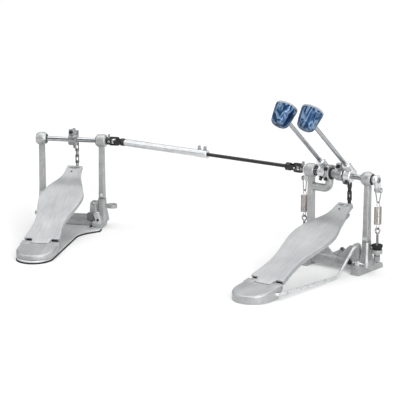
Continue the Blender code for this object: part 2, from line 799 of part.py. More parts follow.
def make_chain():
    """Return the roller chain hanging straight from the cam's nose to the toe clip."""
    inside = CAM_WIDTH / 2 + CLEAR
    outer_far = inside + CHAIN_PLATE
    inner_far = inside + CLEAR / 4
    inner_near = inner_far - CHAIN_PLATE
    pin_far = outer_far + CHAIN_PIN_STANDOUT
    pieces = []
    for index in range(CHAIN_LINKS):
        low = CHAIN_LOW_Z + CHAIN_PITCH * index
        outline = link_outline(low, low + CHAIN_PITCH)
        near, far = (inside, outer_far) if (CHAIN_LINKS - index) % 2 == 1 else (inner_near, inner_far)
        pieces += [prism(outline, near, far, "X"), prism(outline, -far, -near, "X")]
    for index in range(CHAIN_LINKS + 1):
        z = CHAIN_LOW_Z + CHAIN_PITCH * index
        pieces.append(shifted(rod(-pin_far, pin_far, CHAIN_PIN_RADIUS, "X", 6), 0.0, 0.0, z))
        if 0 < index < CHAIN_LINKS:
            reach = inner_near + 0.0002
            pieces.append(shifted(rod(-reach, reach, CHAIN_ROLLER_RADIUS, "X", SMALL), 0.0, 0.0, z))
    chain = join(pieces[0], *pieces[1:])
    return shifted(chain, CAM_OFFSET, CHAIN_Y)


# Footboard and heel


def board_frame():
    """Return the matrix from the board's (across, along, up) to the pedal's frame."""
    return Matrix.Translation((0.0, -HINGE_Y, HINGE_Z)) @ Matrix.Rotation(BOARD_PITCH, 4, "X")


def eased(value, start, end):
    """Return a smooth 0 to 1 rise between two places."""
    share = min(max((value - start) / (end - start), 0.0), 1.0)
    return share * share * (3 - 2 * share)


def board_half_width(along):
    """Return half of the board's width at a place along it, averaged over a short run to round the corners."""
    steps = (-BOARD_SMOOTH, -BOARD_SMOOTH / 2, 0.0, BOARD_SMOOTH / 2, BOARD_SMOOTH)
    return sum(board_plan(along + step) for step in steps) / len(steps)


def board_plan(along):
    """Return half of the board's width at a place along it, before its corners are rounded."""
    half = BOARD_HEEL_HALF
    half += (BOARD_WAIST_HALF - BOARD_HEEL_HALF) * eased(along, 0.0, BOARD_WAIST_AT)
    half += (BOARD_WIDEST_HALF - BOARD_WAIST_HALF) * eased(along, BOARD_WAIST_AT, BOARD_WIDEST_AT)
    share = min(max((along - BOARD_WIDEST_AT) / (BOARD_TOE_AT - BOARD_WIDEST_AT), 0.0), 1.0)
    run = 0.3 * eased(along, BOARD_WIDEST_AT, BOARD_TOE_AT) + 0.7 * share
    half += (BOARD_TOE_HALF - BOARD_WIDEST_HALF) * run
    return half


def board_top(along):
    """Return the height of the board's upper face above its hinge line."""
    span = BOARD_LENGTH - BOARD_DISH_AT
    share = min(max((along - BOARD_DISH_AT) / span, 0.0), 1.0)
    return BOARD_RISE - BOARD_DISH * sin(pi * share) ** 2


def board_stations():
    """Return the places along the board where its sections lie."""
    span = BOARD_LENGTH - BOARD_START
    return [BOARD_START + span * step / BOARD_STEPS for step in range(BOARD_STEPS + 1)]


def flat_top(along):
    """Return the height of the board's upper face as its straight facets make it."""
    places = board_stations()
    for first, second in zip(places, places[1:]):
        if along <= second:
            break
    share = (along - first) / (second - first)
    return board_top(first) * (1 - share) + board_top(second) * share


def make_footboard():
    """Return the footboard: a waisted, flanged pressing with a dished toe and its hinge tongue."""
    sections = []
    for along in board_stations():
        half = board_half_width(along)
        top = board_top(along)
        low = top - BOARD_FLANGE
        under = top - BOARD_THICKNESS
        wall = half - BOARD_THICKNESS
        section = [
            (half, low),
            (half, top - 0.0012),
            (half - 0.0012, top),
            (-half + 0.0012, top),
            (-half, top - 0.0012),
            (-half, low),
            (-wall, low),
            (-wall, under),
            (wall, under),
            (wall, low),
        ]
        sections.append([(a, along, b) for a, b in section])
    board = loft(sections)
    half = KNUCKLE_WIDTH / 2
    tongue = block((-half, 0.0, BOARD_RISE - BOARD_FLANGE + 0.003), (half, 0.022, BOARD_RISE - 0.0006))
    knuckle = rod(-half, half, KNUCKLE_RADIUS, "X")
    join(board, tongue, knuckle)
    cut(board, rod(-0.1, 0.1, HINGE_PIN_RADIUS + CLEAR, "X", SMALL))
    return moved(board, board_frame())


def clip_place():
    """Return the chain's lower pin in the board's frame, as (along, up)."""
    place = board_frame().inverted() @ Vector((0.0, CHAIN_Y, CHAIN_LOW_Z))
    return place.y, place.z


def make_toe_clip():
    """Return the clip under the toe, whose slotted tongue takes the chain's lowest pin."""
    along, up = clip_place()
    start = BOARD_LENGTH - CLIP_LENGTH
    end = BOARD_LENGTH - CLIP_SETBACK
    places = [start] + [place for place in board_stations() if start < place < end] + [end]
    half = CLIP_WIDTH / 2
    sections = []
    for place in places:
        top = flat_top(place) - BOARD_THICKNESS - CLEAR
        low = top - CLIP_THICKNESS
        sections.append([(half, place, low), (half, place, top), (-half, place, top), (-half, place, low)])
    clip = loft(sections)
    root = flat_top(start + 0.010) - BOARD_THICKNESS - CLEAR - CLIP_THICKNESS
    eye = (along + CLIP_SLOT_ALONG / 2, up - CLIP_SLOT_DOWN / 2, CLIP_EYE)
    outline = hull_outline([eye, (start + 0.010, root - 0.001, CLIP_EYE * 0.56)], 7)
    wide = CLIP_TONGUE / 2
    join(clip, prism(outline, CAM_OFFSET - wide, CAM_OFFSET + wide, "X"))
    slot = hull_outline(
        [
            (along + CLIP_SLOT_ALONG, up - CLIP_SLOT_DOWN, CHAIN_PIN_RADIUS + CLIP_SLOT_CLEAR),
            (along - 0.0002, up + 0.0001, CHAIN_PIN_RADIUS + CLIP_SLOT_CLEAR - 0.00001),
        ],
        8,
    )
    cut(clip, prism(slot, -CLIP_WIDTH, CLIP_WIDTH, "X"))
    return moved(clip, board_frame())


def heel_outline(inset, front):
    """Return the heel plate's D outline, drawn in by an inset."""
    half = HEEL_HALF_WIDTH - inset
    back = HINGE_Y + HEEL_DEPTH - inset
    depth = HEEL_ROUND - inset
    points = [(half, -front)]
    for step in range(11):
        angle = pi * step / 10
        points.append((half * cos(angle), -(back - depth) - depth * sin(angle)))
    points.append((-half, -front))
    return points


def heel_top(y):
    """Return the height of the heel plate's upper face."""
    share = (-y - HINGE_Y) / HEEL_DEPTH
    high = HINGE_Z + KNUCKLE_RADIUS - 0.001
    return high + (HEEL_EDGE_HEIGHT - high) * share


def make_heel_plate(floor):
    """Return the heel plate, a hollow casting with the side knuckles of the heel hinge."""
    front = HINGE_Y + KNUCKLE_RADIUS + 0.0020
    outer = heel_outline(0.0, front)
    inset = heel_outline(HEEL_CHAMFER, front)
    sections = [
        [(x, y, floor) for x, y in outer],
        [(x, y, heel_top(y) - HEEL_CHAMFER) for x, y in outer],
        [(x, y, heel_top(y)) for x, y in inset],
    ]
    plate = loft(sections)
    tools = []
    for side in (-1, 1):
        ends = sorted((side * (KNUCKLE_WIDTH / 2 + 0.0005), side * (HEEL_HALF_WIDTH - 0.0015)))
        knuckle = rod(ends[0], ends[1], KNUCKLE_RADIUS, "X")
        tools.append(shifted(knuckle, 0.0, -HINGE_Y, HINGE_Z))
        low = HINGE_Z - KNUCKLE_RADIUS + 0.001
        high = HINGE_Z + KNUCKLE_RADIUS - 0.0025
        tools.append(block((ends[0], -front - 0.004, low), (ends[1], -HINGE_Y, high)))
    join(plate, *tools)
    hollow = heel_outline(HEEL_WALL + 0.0002, front + HEEL_WALL)
    low = [(x, y, floor - 0.01) for x, y in hollow]
    high = [(x, y, heel_top(y) - HEEL_WALL) for x, y in hollow]
    cutters = [loft([low, high])]
    pin = rod(-0.1, 0.1, HINGE_PIN_RADIUS + CLEAR, "X", SMALL)
    cutters.append(shifted(pin, 0.0, -HINGE_Y, HINGE_Z))
    return cut(plate, *cutters)


def make_heel_pin():
    """Return the heel hinge's pin."""
    half = HEEL_HALF_WIDTH - 0.001
    return shifted(rod(-half, half, HINGE_PIN_RADIUS, "X", SMALL), 0.0, -HINGE_Y, HINGE_Z)


def make_stabiliser():
    """Return the bent rod that ties the heel plate to both ears of the frame casting."""
    half = [
        (EAR_OFFSET, -EAR_FRONT + 0.002, EAR_HOLE_Z),
        (EAR_OFFSET, -EAR_BACK - 0.0045, EAR_HOLE_Z),
        (STABILISER_SPREAD, -STABILISER_BEND_Y, STABILISER_FLOOR),
        (HEEL_HALF_WIDTH + 0.004, -STABILISER_Y, STABILISER_Z),
    ]
    mirrored = [(-x, y, z) for x, y, z in reversed(half)]
    route = rounded_route(half + mirrored, 0.0035, 3)
    return wire(route, STABILISER_RADIUS)


def stabiliser_cutter():
    """Return the bar that opens the heel plate's side walls for the rod."""
    reach = HEEL_HALF_WIDTH + 0.01
    return shifted(rod(-reach, reach, STABILISER_RADIUS + CLEAR, "X", SMALL), 0.0, -STABILISER_Y, STABILISER_Z)


def plate_outline(inset):
    """Return the slave base plate's outline from the heel to under the crossbar."""
    half = PLATE_HALF_WIDTH - inset
    wing = PLATE_WING_HALF - inset
    tongue = PLATE_TONGUE_HALF - inset
    back = HINGE_Y + HEEL_DEPTH + PLATE_HEEL_EDGE - inset
    depth = HEEL_ROUND - inset
    wing_back = PLATE_WING_AT + PLATE_WING_LENGTH - inset
    right = []
    for step in range(7):
        angle = pi / 2 - pi / 2 * step / 6
        right.append((half * cos(angle), -(back - depth) - depth * sin(angle)))
    right.append((half, -PLATE_NECK_AT))
    for step in range(1, 6):
        share = step / 5
        right.append((half + (wing - half) * share * share, -PLATE_NECK_AT + (PLATE_NECK_AT - wing_back) * share))
    right.append((wing, -PLATE_WING_AT - inset))
    right.append((tongue, -PLATE_WING_AT - inset))
    right.append((tongue, CROSSBAR_FRONT - inset))
    left = [(-x, y) for x, y in reversed(right[1:])]
    return right + left


# Return springs


def make_rocker(side):
    """Return the lever that pulls the return spring, with the stud that stands out from its tip."""
    outline = hull_outline(
        [(0.0, AXLE_HEIGHT, ROCKER_HUB_RADIUS), (SPRING_Y, STUD_Z, ROCKER_TIP_RADIUS)],
        7,
    )
    half = STUD_LENGTH / 2
    if side > 0:
        arm = (SPRING_OFFSET - ROCKER_ARM_WIDTH / 2, SPRING_OFFSET + ROCKER_ARM_WIDTH / 2)
        stud = (SPRING_OFFSET - half, SPRING_OFFSET + half)
        bore = (ROCKER_X - HOUSING_LENGTH, MAIN_AXLE_END + CLEAR)
    else:
        arm = (-ROCKER_X - ROCKER_THICKNESS, -ROCKER_X)
        stud = (-SPRING_OFFSET - half, -ROCKER_X - ROCKER_THICKNESS / 2)
        bore = (-SPRING_OFFSET * 2, 0.0)
    rocker = prism(outline, arm[0], arm[1], "X")
    if side > 0:
        boss = rod(ROCKER_X, ROCKER_BOSS_END, ROCKER_HUB_RADIUS - CLEAR, "X")
        join(rocker, shifted(boss, 0.0, 0.0, AXLE_HEIGHT))
    join(rocker, shifted(rod(stud[0], stud[1], STUD_RADIUS, "X", SMALL), 0.0, SPRING_Y, STUD_Z))
    passage = rod(bore[0], bore[1], AXLE_RADIUS + CLEAR, "X")
    return cut(rocker, shifted(passage, 0.0, 0.0, AXLE_HEIGHT))


def spring_top():
    """Return the height of the spring's last curl."""
    return SPRING_BOTTOM + SPRING_CURLS * SPRING_PITCH


def hook_top():
    """Return the height of the wire's middle over the spring's upper hook."""
    return spring_top() + HOOK_NECK + HOOK_RADIUS * 2


def stirrup_low():
    """Return the height of the stirrup's lowest wire, inside the spring's upper hook."""
    return hook_top() - SPRING_WIRE - STIRRUP_WIRE - CLEAR


def make_stirrup(side):
    """Return the wire stirrup that hangs on the rocker's stud and holds the spring's upper hook."""
    x, y = side * SPRING_OFFSET, SPRING_Y
    eye = STUD_RADIUS + CLEAR + STIRRUP_WIRE
    low = stirrup_low()
    shoulder = STUD_Z - eye
    bend = [(x + a, y, b) for a, b in arc((0.0, low + STIRRUP_BEND), STIRRUP_BEND, pi, 2 * pi, 6)]
    route = [(x - STIRRUP_SPREAD, y, shoulder)] + bend + [(x + STIRRUP_SPREAD, y, shoulder)]
    stirrup = wire(route, STIRRUP_WIRE)
    for step in (-1, 1):
        loop = [(x + step * STIRRUP_SPREAD, y + a, b) for a, b in arc((0.0, STUD_Z), eye, 0.0, 2 * pi, 8)]
        join(stirrup, wire(loop[:-1], STIRRUP_WIRE, cyclic=True))
    return stirrup


def hook_points(x, y, level, direction):
    """Return an end hook: up from the last curl, then round in the plane across the axle."""
    points = []
    centre = level + direction * (HOOK_NECK + HOOK_RADIUS)
    for step in range(9):
        angle = radians(-10 + 250 * step / 8)
        points.append((x, y + HOOK_RADIUS * cos(angle), centre + direction * HOOK_RADIUS * sin(angle)))
    return points


def spring_points(side):
    """Return the middle of the spring's wire: lower hook, curls and upper hook."""
    x, y = side * SPRING_OFFSET, SPRING_Y
    count = SPRING_CURLS * CURL_POINTS
    curls = []
    for step in range(count + 1):
        angle = pi / 2 + 2 * pi * step / CURL_POINTS
        z = SPRING_BOTTOM + SPRING_PITCH * step / CURL_POINTS
        curls.append((x + SPRING_COIL_RADIUS * cos(angle), y + SPRING_COIL_RADIUS * sin(angle), z))
    upper = hook_points(x, y, spring_top(), 1)
    lower = hook_points(x, y, SPRING_BOTTOM, -1)
    return list(reversed(lower)) + curls + upper


def least_gap(points, radius, apart):
    """Return the least gap between stretches of a wire that lie some points apart."""
    places = [Vector(point) for point in points]
    least = min(
        (first - second).length
        for index, first in enumerate(places)
        for second in places[index + apart :]
    )
    return least - 2 * radius


def make_spring(side):
    """Return one return spring as an unbroken wire."""
    points = spring_points(side)
    gap = least_gap(points, SPRING_WIRE, 5)
    print(f"spring least gap {gap * 1000:.3f} mm over {SPRING_CURLS} curls")
    return wire(points, SPRING_WIRE)


def eye_centre():
    """Return the height of the eye bolt's ring, whose upper wire lies in the spring's lower hook."""
    hook_low = SPRING_BOTTOM - HOOK_NECK - HOOK_RADIUS * 2
    return hook_low + SPRING_WIRE + CLEAR + EYE_WIRE - EYE_RADIUS


def make_eye_bolt(side):
    """Return the eye bolt that sets the spring's tension."""
    x = side * SPRING_OFFSET
    centre = eye_centre()
    loop = [(x + a, SPRING_Y, b) for a, b in arc((0.0, centre), EYE_RADIUS, 0.0, 2 * pi, 14)]
    eye = wire(loop[:-1], EYE_WIRE, cyclic=True)
    shank = rod(EYE_SHANK_BOTTOM, centre - EYE_RADIUS, EYE_SHANK_RADIUS, "Z", SMALL)
    return join(eye, shifted(shank, x, SPRING_Y))


def make_grommet(side):
    """Return the rubber seat between the lug and the eye bolt."""
    low = LUG_HEIGHT + LUG_THICKNESS / 2 + CLEAR
    bore = EYE_SHANK_RADIUS + CLEAR
    profile = [
        (low, bore),
        (low, GROMMET_BOTTOM_RADIUS),
        (low + GROMMET_HEIGHT * 0.72, GROMMET_TOP_RADIUS),
        (low + GROMMET_HEIGHT, GROMMET_TOP_RADIUS - 0.0008),
        (low + GROMMET_HEIGHT, bore + 0.0045),
        (low + GROMMET_HEIGHT * 0.8, bore),
    ]
    return shifted(turned(profile, "Z"), side * SPRING_OFFSET, SPRING_Y)


def make_nut(side):
    """Return the fluted nut under the lug."""
    high = LUG_HEIGHT - LUG_THICKNESS / 2 - CLEAR
    outline = []
    for step in range(NUT_FLUTES * 2):
        angle = pi * step / NUT_FLUTES
        radius = NUT_RADIUS if step % 2 == 0 else NUT_RADIUS * 0.88
        outline.append((radius * cos(angle), radius * sin(angle)))
    nut = prism(outline, high - NUT_HEIGHT, high)
    cut(nut, rod(0.0, 0.1, EYE_SHANK_RADIUS + CLEAR, "Z", SMALL))
    return shifted(nut, side * SPRING_OFFSET, SPRING_Y)


# Beaters


def beater_frame(x):
    """Return the matrix from a beater's frame, Z along its rod and Y to its face, to the pedal's frame."""
    return Matrix.Translation((x, 0.0, AXLE_HEIGHT)) @ Matrix.Rotation(BEATER_LEAN, 4, "X")


def make_holder(x):
    """Return the beater holder: a hub on the axle with a barrel for the rod."""
    half = HOLDER_HUB_LENGTH / 2
    holder = rod(-half, half, HOLDER_HUB_RADIUS, "X")
    low = -HOLDER_BARREL_LOW
    high = low + HOLDER_BARREL_LENGTH
    lead = 0.0015
    profile = [
        (low, 0.0),
        (low, HOLDER_BARREL_RADIUS - lead),
        (low + lead, HOLDER_BARREL_RADIUS),
        (high - lead, HOLDER_BARREL_RADIUS),
        (high, HOLDER_BARREL_RADIUS - lead),
        (high, 0.0),
    ]
    join(holder, shifted(turned(profile), 0.0, BEATER_OFFSET))
    bore = rod(-0.05, 0.05, BEATER_ROD_RADIUS + CLEAR)
    cut(holder, rod(-0.05, 0.05, AXLE_RADIUS + CLEAR, "X"), shifted(bore, 0.0, BEATER_OFFSET))
    return moved(holder, beater_frame(x))


def head_depth():
    """Return how far along the rod its end lies, inside the head."""
    return BEATER_REACH - HEAD_REAR_RADIUS + HEAD_ROD_DEPTH


def make_beater_rod(x):
    """Return a beater's rod from its tail under the holder into the head."""
    bar = rod(-BEATER_ROD_TAIL, head_depth(), BEATER_ROD_RADIUS, "Z", SMALL)
    return moved(shifted(bar, 0.0, BEATER_OFFSET), beater_frame(x))


def make_head(x):
    """Return a beater's head, a cup that swells towards its face."""
    half, front, rear = HEAD_LENGTH / 2, HEAD_FRONT_RADIUS, HEAD_REAR_RADIUS
    profile = [
        (-half, 0.0),
        (-half, rear * 0.55),
        (-half * 0.92, rear * 0.80),
        (-half * 0.76, rear * 0.96),
        (-half * 0.45, rear * 1.06),
        (half * 0.80, front * 0.985),
        (half * 0.94, front),
        (half, front - 0.0008),
        (half, 0.0),
    ]
    head = shifted(turned(profile, "Y", FINE), 0.0, BEATER_OFFSET - HEAD_SETBACK, BEATER_REACH)
    bore = rod(0.0, head_depth() + CLEAR, BEATER_ROD_RADIUS + CLEAR, "Z", SMALL)
    cut(head, shifted(bore, 0.0, BEATER_OFFSET))
    return moved(head, beater_frame(x))


def make_face(x):
    """Return the felt disc on a beater's face."""
    low = HEAD_LENGTH / 2 + CLEAR
    r = HEAD_FRONT_RADIUS
    profile = [
        (low, 0.0),
        (low, r - 0.0004),
        (low + 0.0012, r),
        (low + FACE_THICKNESS - 0.0025, r),
        (low + FACE_THICKNESS - 0.0006, r - 0.0022),
        (low + FACE_THICKNESS + FACE_CROWN * 0.6, r * 0.5),
        (low + FACE_THICKNESS + FACE_CROWN, 0.0),
    ]
    face = shifted(turned(profile, "Y", FINE), 0.0, BEATER_OFFSET - HEAD_SETBACK, BEATER_REACH)
    return moved(face, beater_frame(x))


# Drive shaft


def make_yoke(bore, bore_depth):
    """Return a yoke with its hub towards -X of the joint's middle and its arms above and below."""
    start = -JOINT_REACH - YOKE_HUB_LENGTH
    lead = 0.0010
    profile = [
        (start, 0.0),
        (start, YOKE_HUB_RADIUS - lead),
        (start + lead, YOKE_HUB_RADIUS),
        (-JOINT_REACH, YOKE_HUB_RADIUS),
        (-JOINT_REACH, 0.0),
    ]
    yoke = turned(profile, "X")
    half = YOKE_ARM_HALF
    outline = [(-JOINT_REACH - 0.004, -half)] + arc((0.0, 0.0), half, -pi / 2, pi / 2, 4)
    outline.append((-JOINT_REACH - 0.004, half))
    near, far = YOKE_ARM_GAP, YOKE_ARM_GAP + YOKE_ARM_THICKNESS
    join(yoke, prism(outline, near, far), prism(outline, -far, -near))
    cutters = [rod(-0.05, 0.05, CROSS_PIN_RADIUS + SWIVEL_CLEAR, "Z", SMALL)]
    if bore > 0.0:
        cutters.append(rod(start - 0.01, start + bore_depth, bore, "X"))
    return cut(yoke, *cutters)


def make_cross():
    """Return the cross of a joint, its pins along Y and Z."""
    reach, half = CROSS_PIN_REACH, CROSS_BODY / 2
    cross = prism(chamfered(CROSS_BODY, CROSS_BODY, 0.0015), -half, half)
    return join(
        cross,
        rod(-reach, reach, CROSS_PIN_RADIUS, "Y", SMALL),
        rod(-reach, reach, CROSS_PIN_RADIUS, "Z", SMALL),
    )


def half_turn():
    """Return the turn that makes a yoke face the other way with its arms at the sides."""
    return Matrix.Rotation(pi, 4, "Z") @ Matrix.Rotation(pi / 2, 4, "X")


def make_drive_rod(start, end):
    """Return the black inner rod along X, with its yoke facing the joint at the origin."""
    yoke = moved(make_yoke(0.0, 0.0), Matrix.Rotation(pi / 2, 4, "X"))
    return join(yoke, rod(start, end, ROD_RADIUS, "X", SMALL))


def make_tube_yoke():
    """Return the tube's yoke at +X of the joint's middle, with the spigot that plugs the tube."""
    yoke = moved(make_yoke(0.0, 0.0), half_turn())
    start = JOINT_REACH + YOKE_HUB_LENGTH - 0.002
    return join(yoke, rod(start, start + 0.002 + SPIGOT_LENGTH, TUBE_BORE_RADIUS - CLEAR, "X", SMALL))


def make_tube():
    """Return the outer tube, along X from the slave's joint, with a turned collar at its open end."""
    start = JOINT_REACH + YOKE_HUB_LENGTH + CLEAR
    end = start + TUBE_LENGTH
    collar = TUBE_RADIUS + 0.0008
    profile = [
        (start, TUBE_BORE_RADIUS),
        (start, TUBE_RADIUS),
        (end - 0.030, TUBE_RADIUS),
        (end - 0.029, collar),
        (end - 0.001, collar),
        (end, collar - 0.001),
        (end, TUBE_BORE_RADIUS),
    ]
    return turned(profile, "X")


def shaft_span():
    """Return the rod's two ends along the shaft, measured from the primary's joint."""
    tube_end = SHAFT_LENGTH - (JOINT_REACH + YOKE_HUB_LENGTH + CLEAR) - TUBE_LENGTH
    return -tube_end - ROD_ENGAGED, -JOINT_REACH - YOKE_HUB_LENGTH + 0.001


# Assembly


def make_pedal_empty(name, place, yaw, parent=None):
    """Return an empty that carries one pedal's or the shaft's frame."""
    empty = bpy.data.objects.new(name, None)
    bpy.context.scene.collection.objects.link(empty)
    empty.location = place
    empty.rotation_euler = (0.0, 0.0, yaw)
    empty.parent = parent
    return empty


def add_frame(prefix, pedal, mats, floor, blind_left):
    """Add a pedal's posts, bearings, heel plate and heel pin."""
    for side, word in ((-1, "left"), (1, "right")):
        post = make_post(side, blind=blind_left and side < 0)
        finish(post, f"{prefix}_{word}_post", mats["cast"], pedal, (side * POST_X, 0.0, SEAT_HEIGHT))
        bearing = make_bearing(*bearing_span(side), side)
        finish(bearing, f"{prefix}_{word}_bearing", mats["black"], pedal, (side * POST_X, 0.0, AXLE_HEIGHT))
    hinge = (0.0, -HINGE_Y, HINGE_Z)
    plate = make_heel_plate(floor)
    if floor == 0.0:
        cut(plate, stabiliser_cutter())
    finish(plate, f"{prefix}_heel_plate", mats["satin"], pedal, hinge)
    finish(make_heel_pin(), f"{prefix}_heel_pin", mats["steel"], pedal, hinge)


def add_board(prefix, pedal, mats):
    """Add a pedal's footboard, toe clip, cam and chain."""
    hinge = (0.0, -HINGE_Y, HINGE_Z)
    axle = (0.0, 0.0, AXLE_HEIGHT)
    finish(make_footboard(), f"{prefix}_footboard", mats["satin"], pedal, hinge)
    finish(make_toe_clip(), f"{prefix}_toe_clip", mats["satin"], pedal, hinge)
    finish(make_cam(), f"{prefix}_cam", mats["chrome"], pedal, axle)
    finish(make_chain(), f"{prefix}_chain", mats["chain"], pedal, (0.0, CHAIN_Y, CHAIN_TOP_Z))


def add_clamp(pedal, mats):
    """Add the hoop clamp's jaw, pin and screw."""
    pivot = (0.0, CLAMP_PIVOT_Y, CLAMP_PIVOT_Z)
    finish(make_clamp_jaw(), "hoop_clamp_jaw", mats["cast"], pedal, pivot)
    finish(make_clamp_pin(), "hoop_clamp_pin", mats["steel"], pedal, pivot)
    finish(make_clamp_screw(), "hoop_clamp_screw", mats["steel"], pedal, (0.0, CLAMP_SCREW_Y, CLAMP_PIVOT_Z))


def add_spring_side(side, word, pedal, mats):
    """Add one side's rocker, stirrup, spring and tension screw."""
    axle = (side * ROCKER_X, 0.0, AXLE_HEIGHT)
    stud = (side * SPRING_OFFSET, SPRING_Y, STUD_Z)
    eye = (side * SPRING_OFFSET, SPRING_Y, eye_centre() + EYE_RADIUS)
    lug = (side * SPRING_OFFSET, SPRING_Y, LUG_HEIGHT)
    finish(make_rocker(side), f"{word}_rocker", mats["chrome"], pedal, axle)
    finish(make_stirrup(side), f"{word}_stirrup", mats["steel"], pedal, stud)
    finish(make_spring(side), f"{word}_spring", mats["spring"], pedal, eye)
    finish(make_eye_bolt(side), f"{word}_eye_bolt", mats["steel"], pedal, lug)
    finish(make_grommet(side), f"{word}_grommet", mats["rubber"], pedal, lug)
    finish(make_nut(side), f"{word}_tension_nut", mats["steel"], pedal, lug)


def add_beater(x, word, pedal, mats):
    """Add one beater with its holder."""
    axle = (x, 0.0, AXLE_HEIGHT)
    finish(make_holder(x), f"{word}_beater_holder", mats["chrome"], pedal, axle)
    finish(make_beater_rod(x), f"{word}_beater_rod", mats["chrome"], pedal, axle)
    finish(make_head(x), f"{word}_beater_head", mats["head"], pedal, axle)
    finish(make_face(x), f"{word}_beater_face", mats["felt"], pedal, axle)


def add_primary(pedal, mats):
    """Add everything that only the primary pedal has."""
    axle = (0.0, 0.0, AXLE_HEIGHT)
    base = make_base(FOOT_FRONT, clamp=True, lugs=(-1, 1))
    finish(base, "primary_base", mats["cast"], pedal, (0.0, 0.0, 0.0))
    add_frame("primary", pedal, mats, 0.0, blind_left=False)
    add_board("primary", pedal, mats)
    add_clamp(pedal, mats)
    finish(make_stabiliser(), "stabiliser_rod", mats["steel"], pedal, (0.0, -EAR_BACK, EAR_HOLE_Z))
    finish(make_centre_arm(), "centre_bearing_arm", mats["cast"], pedal, axle)
    half = BEARING_WIDTH / 2
    bearing = make_bearing(ARM_X - half, ARM_X + half, 1)
    finish(bearing, "centre_bearing", mats["black"], pedal, axle)
    gap = AXLE_END_GAP / 2
    finish(make_axle(ARM_X + gap, MAIN_AXLE_END), "main_axle", mats["chrome"], pedal, axle)
    yoke_seat = PRIMARY_JOINT_X + JOINT_REACH + YOKE_HUB_LENGTH * 0.2
    finish(make_axle(yoke_seat, ARM_X - gap), "secondary_axle", mats["chrome"], pedal, axle)
    for side, word in ((-1, "left"), (1, "right")):
        add_spring_side(side, word, pedal, mats)
    add_beater(LEFT_BEATER_X, "left", pedal, mats)
    add_beater(RIGHT_BEATER_X, "right", pedal, mats)
    yoke = moved(make_yoke(AXLE_RADIUS + CLEAR, YOKE_HUB_LENGTH * 0.85), Matrix.Rotation(pi, 4, "Z"))
    joint = (PRIMARY_JOINT_X, 0.0, AXLE_HEIGHT)
    shifted(yoke, *joint)
    finish(yoke, "primary_axle_yoke", mats["black"], pedal, joint)


def add_slave(pedal, mats):
    """Add everything that only the slave pedal has."""
    axle = (0.0, 0.0, AXLE_HEIGHT)
    floor = MAT_THICKNESS + PLATE_THICKNESS + 2 * CLEAR
    base = make_base(SLAVE_FOOT_FRONT, clamp=False, lugs=(1,))
    finish(base, "slave_base", mats["cast"], pedal, (0.0, 0.0, 0.0))
    add_frame("slave", pedal, mats, floor, blind_left=True)
    add_board("slave", pedal, mats)
    start = -POST_X - HOUSING_LENGTH / 4 + CLEAR
    end = SLAVE_JOINT_X - JOINT_REACH - YOKE_HUB_LENGTH * 0.2
    finish(make_axle(start, end), "slave_axle", mats["chrome"], pedal, axle)
    mat = prism(plate_outline(0.0), 0.0, MAT_THICKNESS)
    finish(mat, "slave_rubber_mat", mats["rubber"], pedal, (0.0, 0.0, 0.0))
    low = MAT_THICKNESS + CLEAR
    plate = prism(plate_outline(0.0), low, low + PLATE_THICKNESS)
    finish(plate, "slave_base_plate", mats["satin"], pedal, (0.0, 0.0, 0.0))
    joint = (SLAVE_JOINT_X, 0.0, AXLE_HEIGHT)
    yoke = shifted(make_yoke(AXLE_RADIUS + CLEAR, YOKE_HUB_LENGTH * 0.85), *joint)
    finish(yoke, "slave_axle_yoke", mats["black"], pedal, joint)


def add_shaft(primary_joint, slave_joint, mats):
    """Add the drive shaft's pieces on the lines through their joints."""
    origin = (0.0, 0.0, 0.0)
    finish(make_drive_rod(*shaft_span()), "drive_rod", mats["black"], primary_joint, origin)
    finish(make_cross(), "primary_cross", mats["steel"], primary_joint, origin)
    finish(make_tube(), "drive_tube", mats["chrome"], slave_joint, origin)
    finish(make_tube_yoke(), "drive_tube_yoke", mats["black"], slave_joint, origin)
    finish(make_cross(), "slave_cross", mats["steel"], slave_joint, origin)


def make_materials():
    """Return the photographed finishes by name."""
    return {
        "cast": make_material("satin_casting", (0.50, 0.51, 0.51), 0.45, 0.8),
        "satin": make_material("brushed_pressing", (0.55, 0.55, 0.54), 0.40, 0.8),
        "chrome": make_material("chrome", (0.80, 0.81, 0.82), 0.10, 1.0),
        "steel": make_material("plated_steel", (0.68, 0.68, 0.67), 0.25, 1.0),
        "spring": make_material("spring_steel", (0.62, 0.57, 0.54), 0.30, 1.0),
        "chain": make_material("dark_chain", (0.20, 0.20, 0.20), 0.40, 0.9),
        "black": make_material("black_oxide", (0.02, 0.02, 0.02), 0.45, 0.4),
        "rubber": make_material("rubber", (0.015, 0.015, 0.015), 0.80, 0.0),
        "head": make_material("pearl_blue", (0.05, 0.13, 0.30), 0.20, 0.0),
        "felt": make_material("white_felt", (0.80, 0.79, 0.74), 0.85, 0.0),
    }


def main():
    """Draw the whole pedal."""
    clear_scene()
    mats = make_materials()
    primary = make_pedal_empty("primary_pedal", PRIMARY_PLACE, 0.0)
    joint_place = Vector((PRIMARY_JOINT_X, 0.0, AXLE_HEIGHT))
    primary_joint = make_pedal_empty("primary_joint", joint_place, SHAFT_YAW, primary)
    along = Vector((cos(SHAFT_YAW), sin(SHAFT_YAW), 0.0))
    far_place = joint_place - along * SHAFT_LENGTH
    slave_joint = make_pedal_empty("slave_joint", far_place, SHAFT_YAW, primary)
    reach = Matrix.Rotation(SLAVE_YAW, 3, "Z") @ Vector((SLAVE_JOINT_X, 0.0, 0.0))
    slave_place = Vector((far_place.x, far_place.y, 0.0)) - reach
    slave = make_pedal_empty("slave_pedal", slave_place, SLAVE_YAW, primary)
    add_primary(primary, mats)
    add_slave(slave, mats)
    add_shaft(primary_joint, slave_joint, mats)
    bpy.context.view_layer.update()


main()
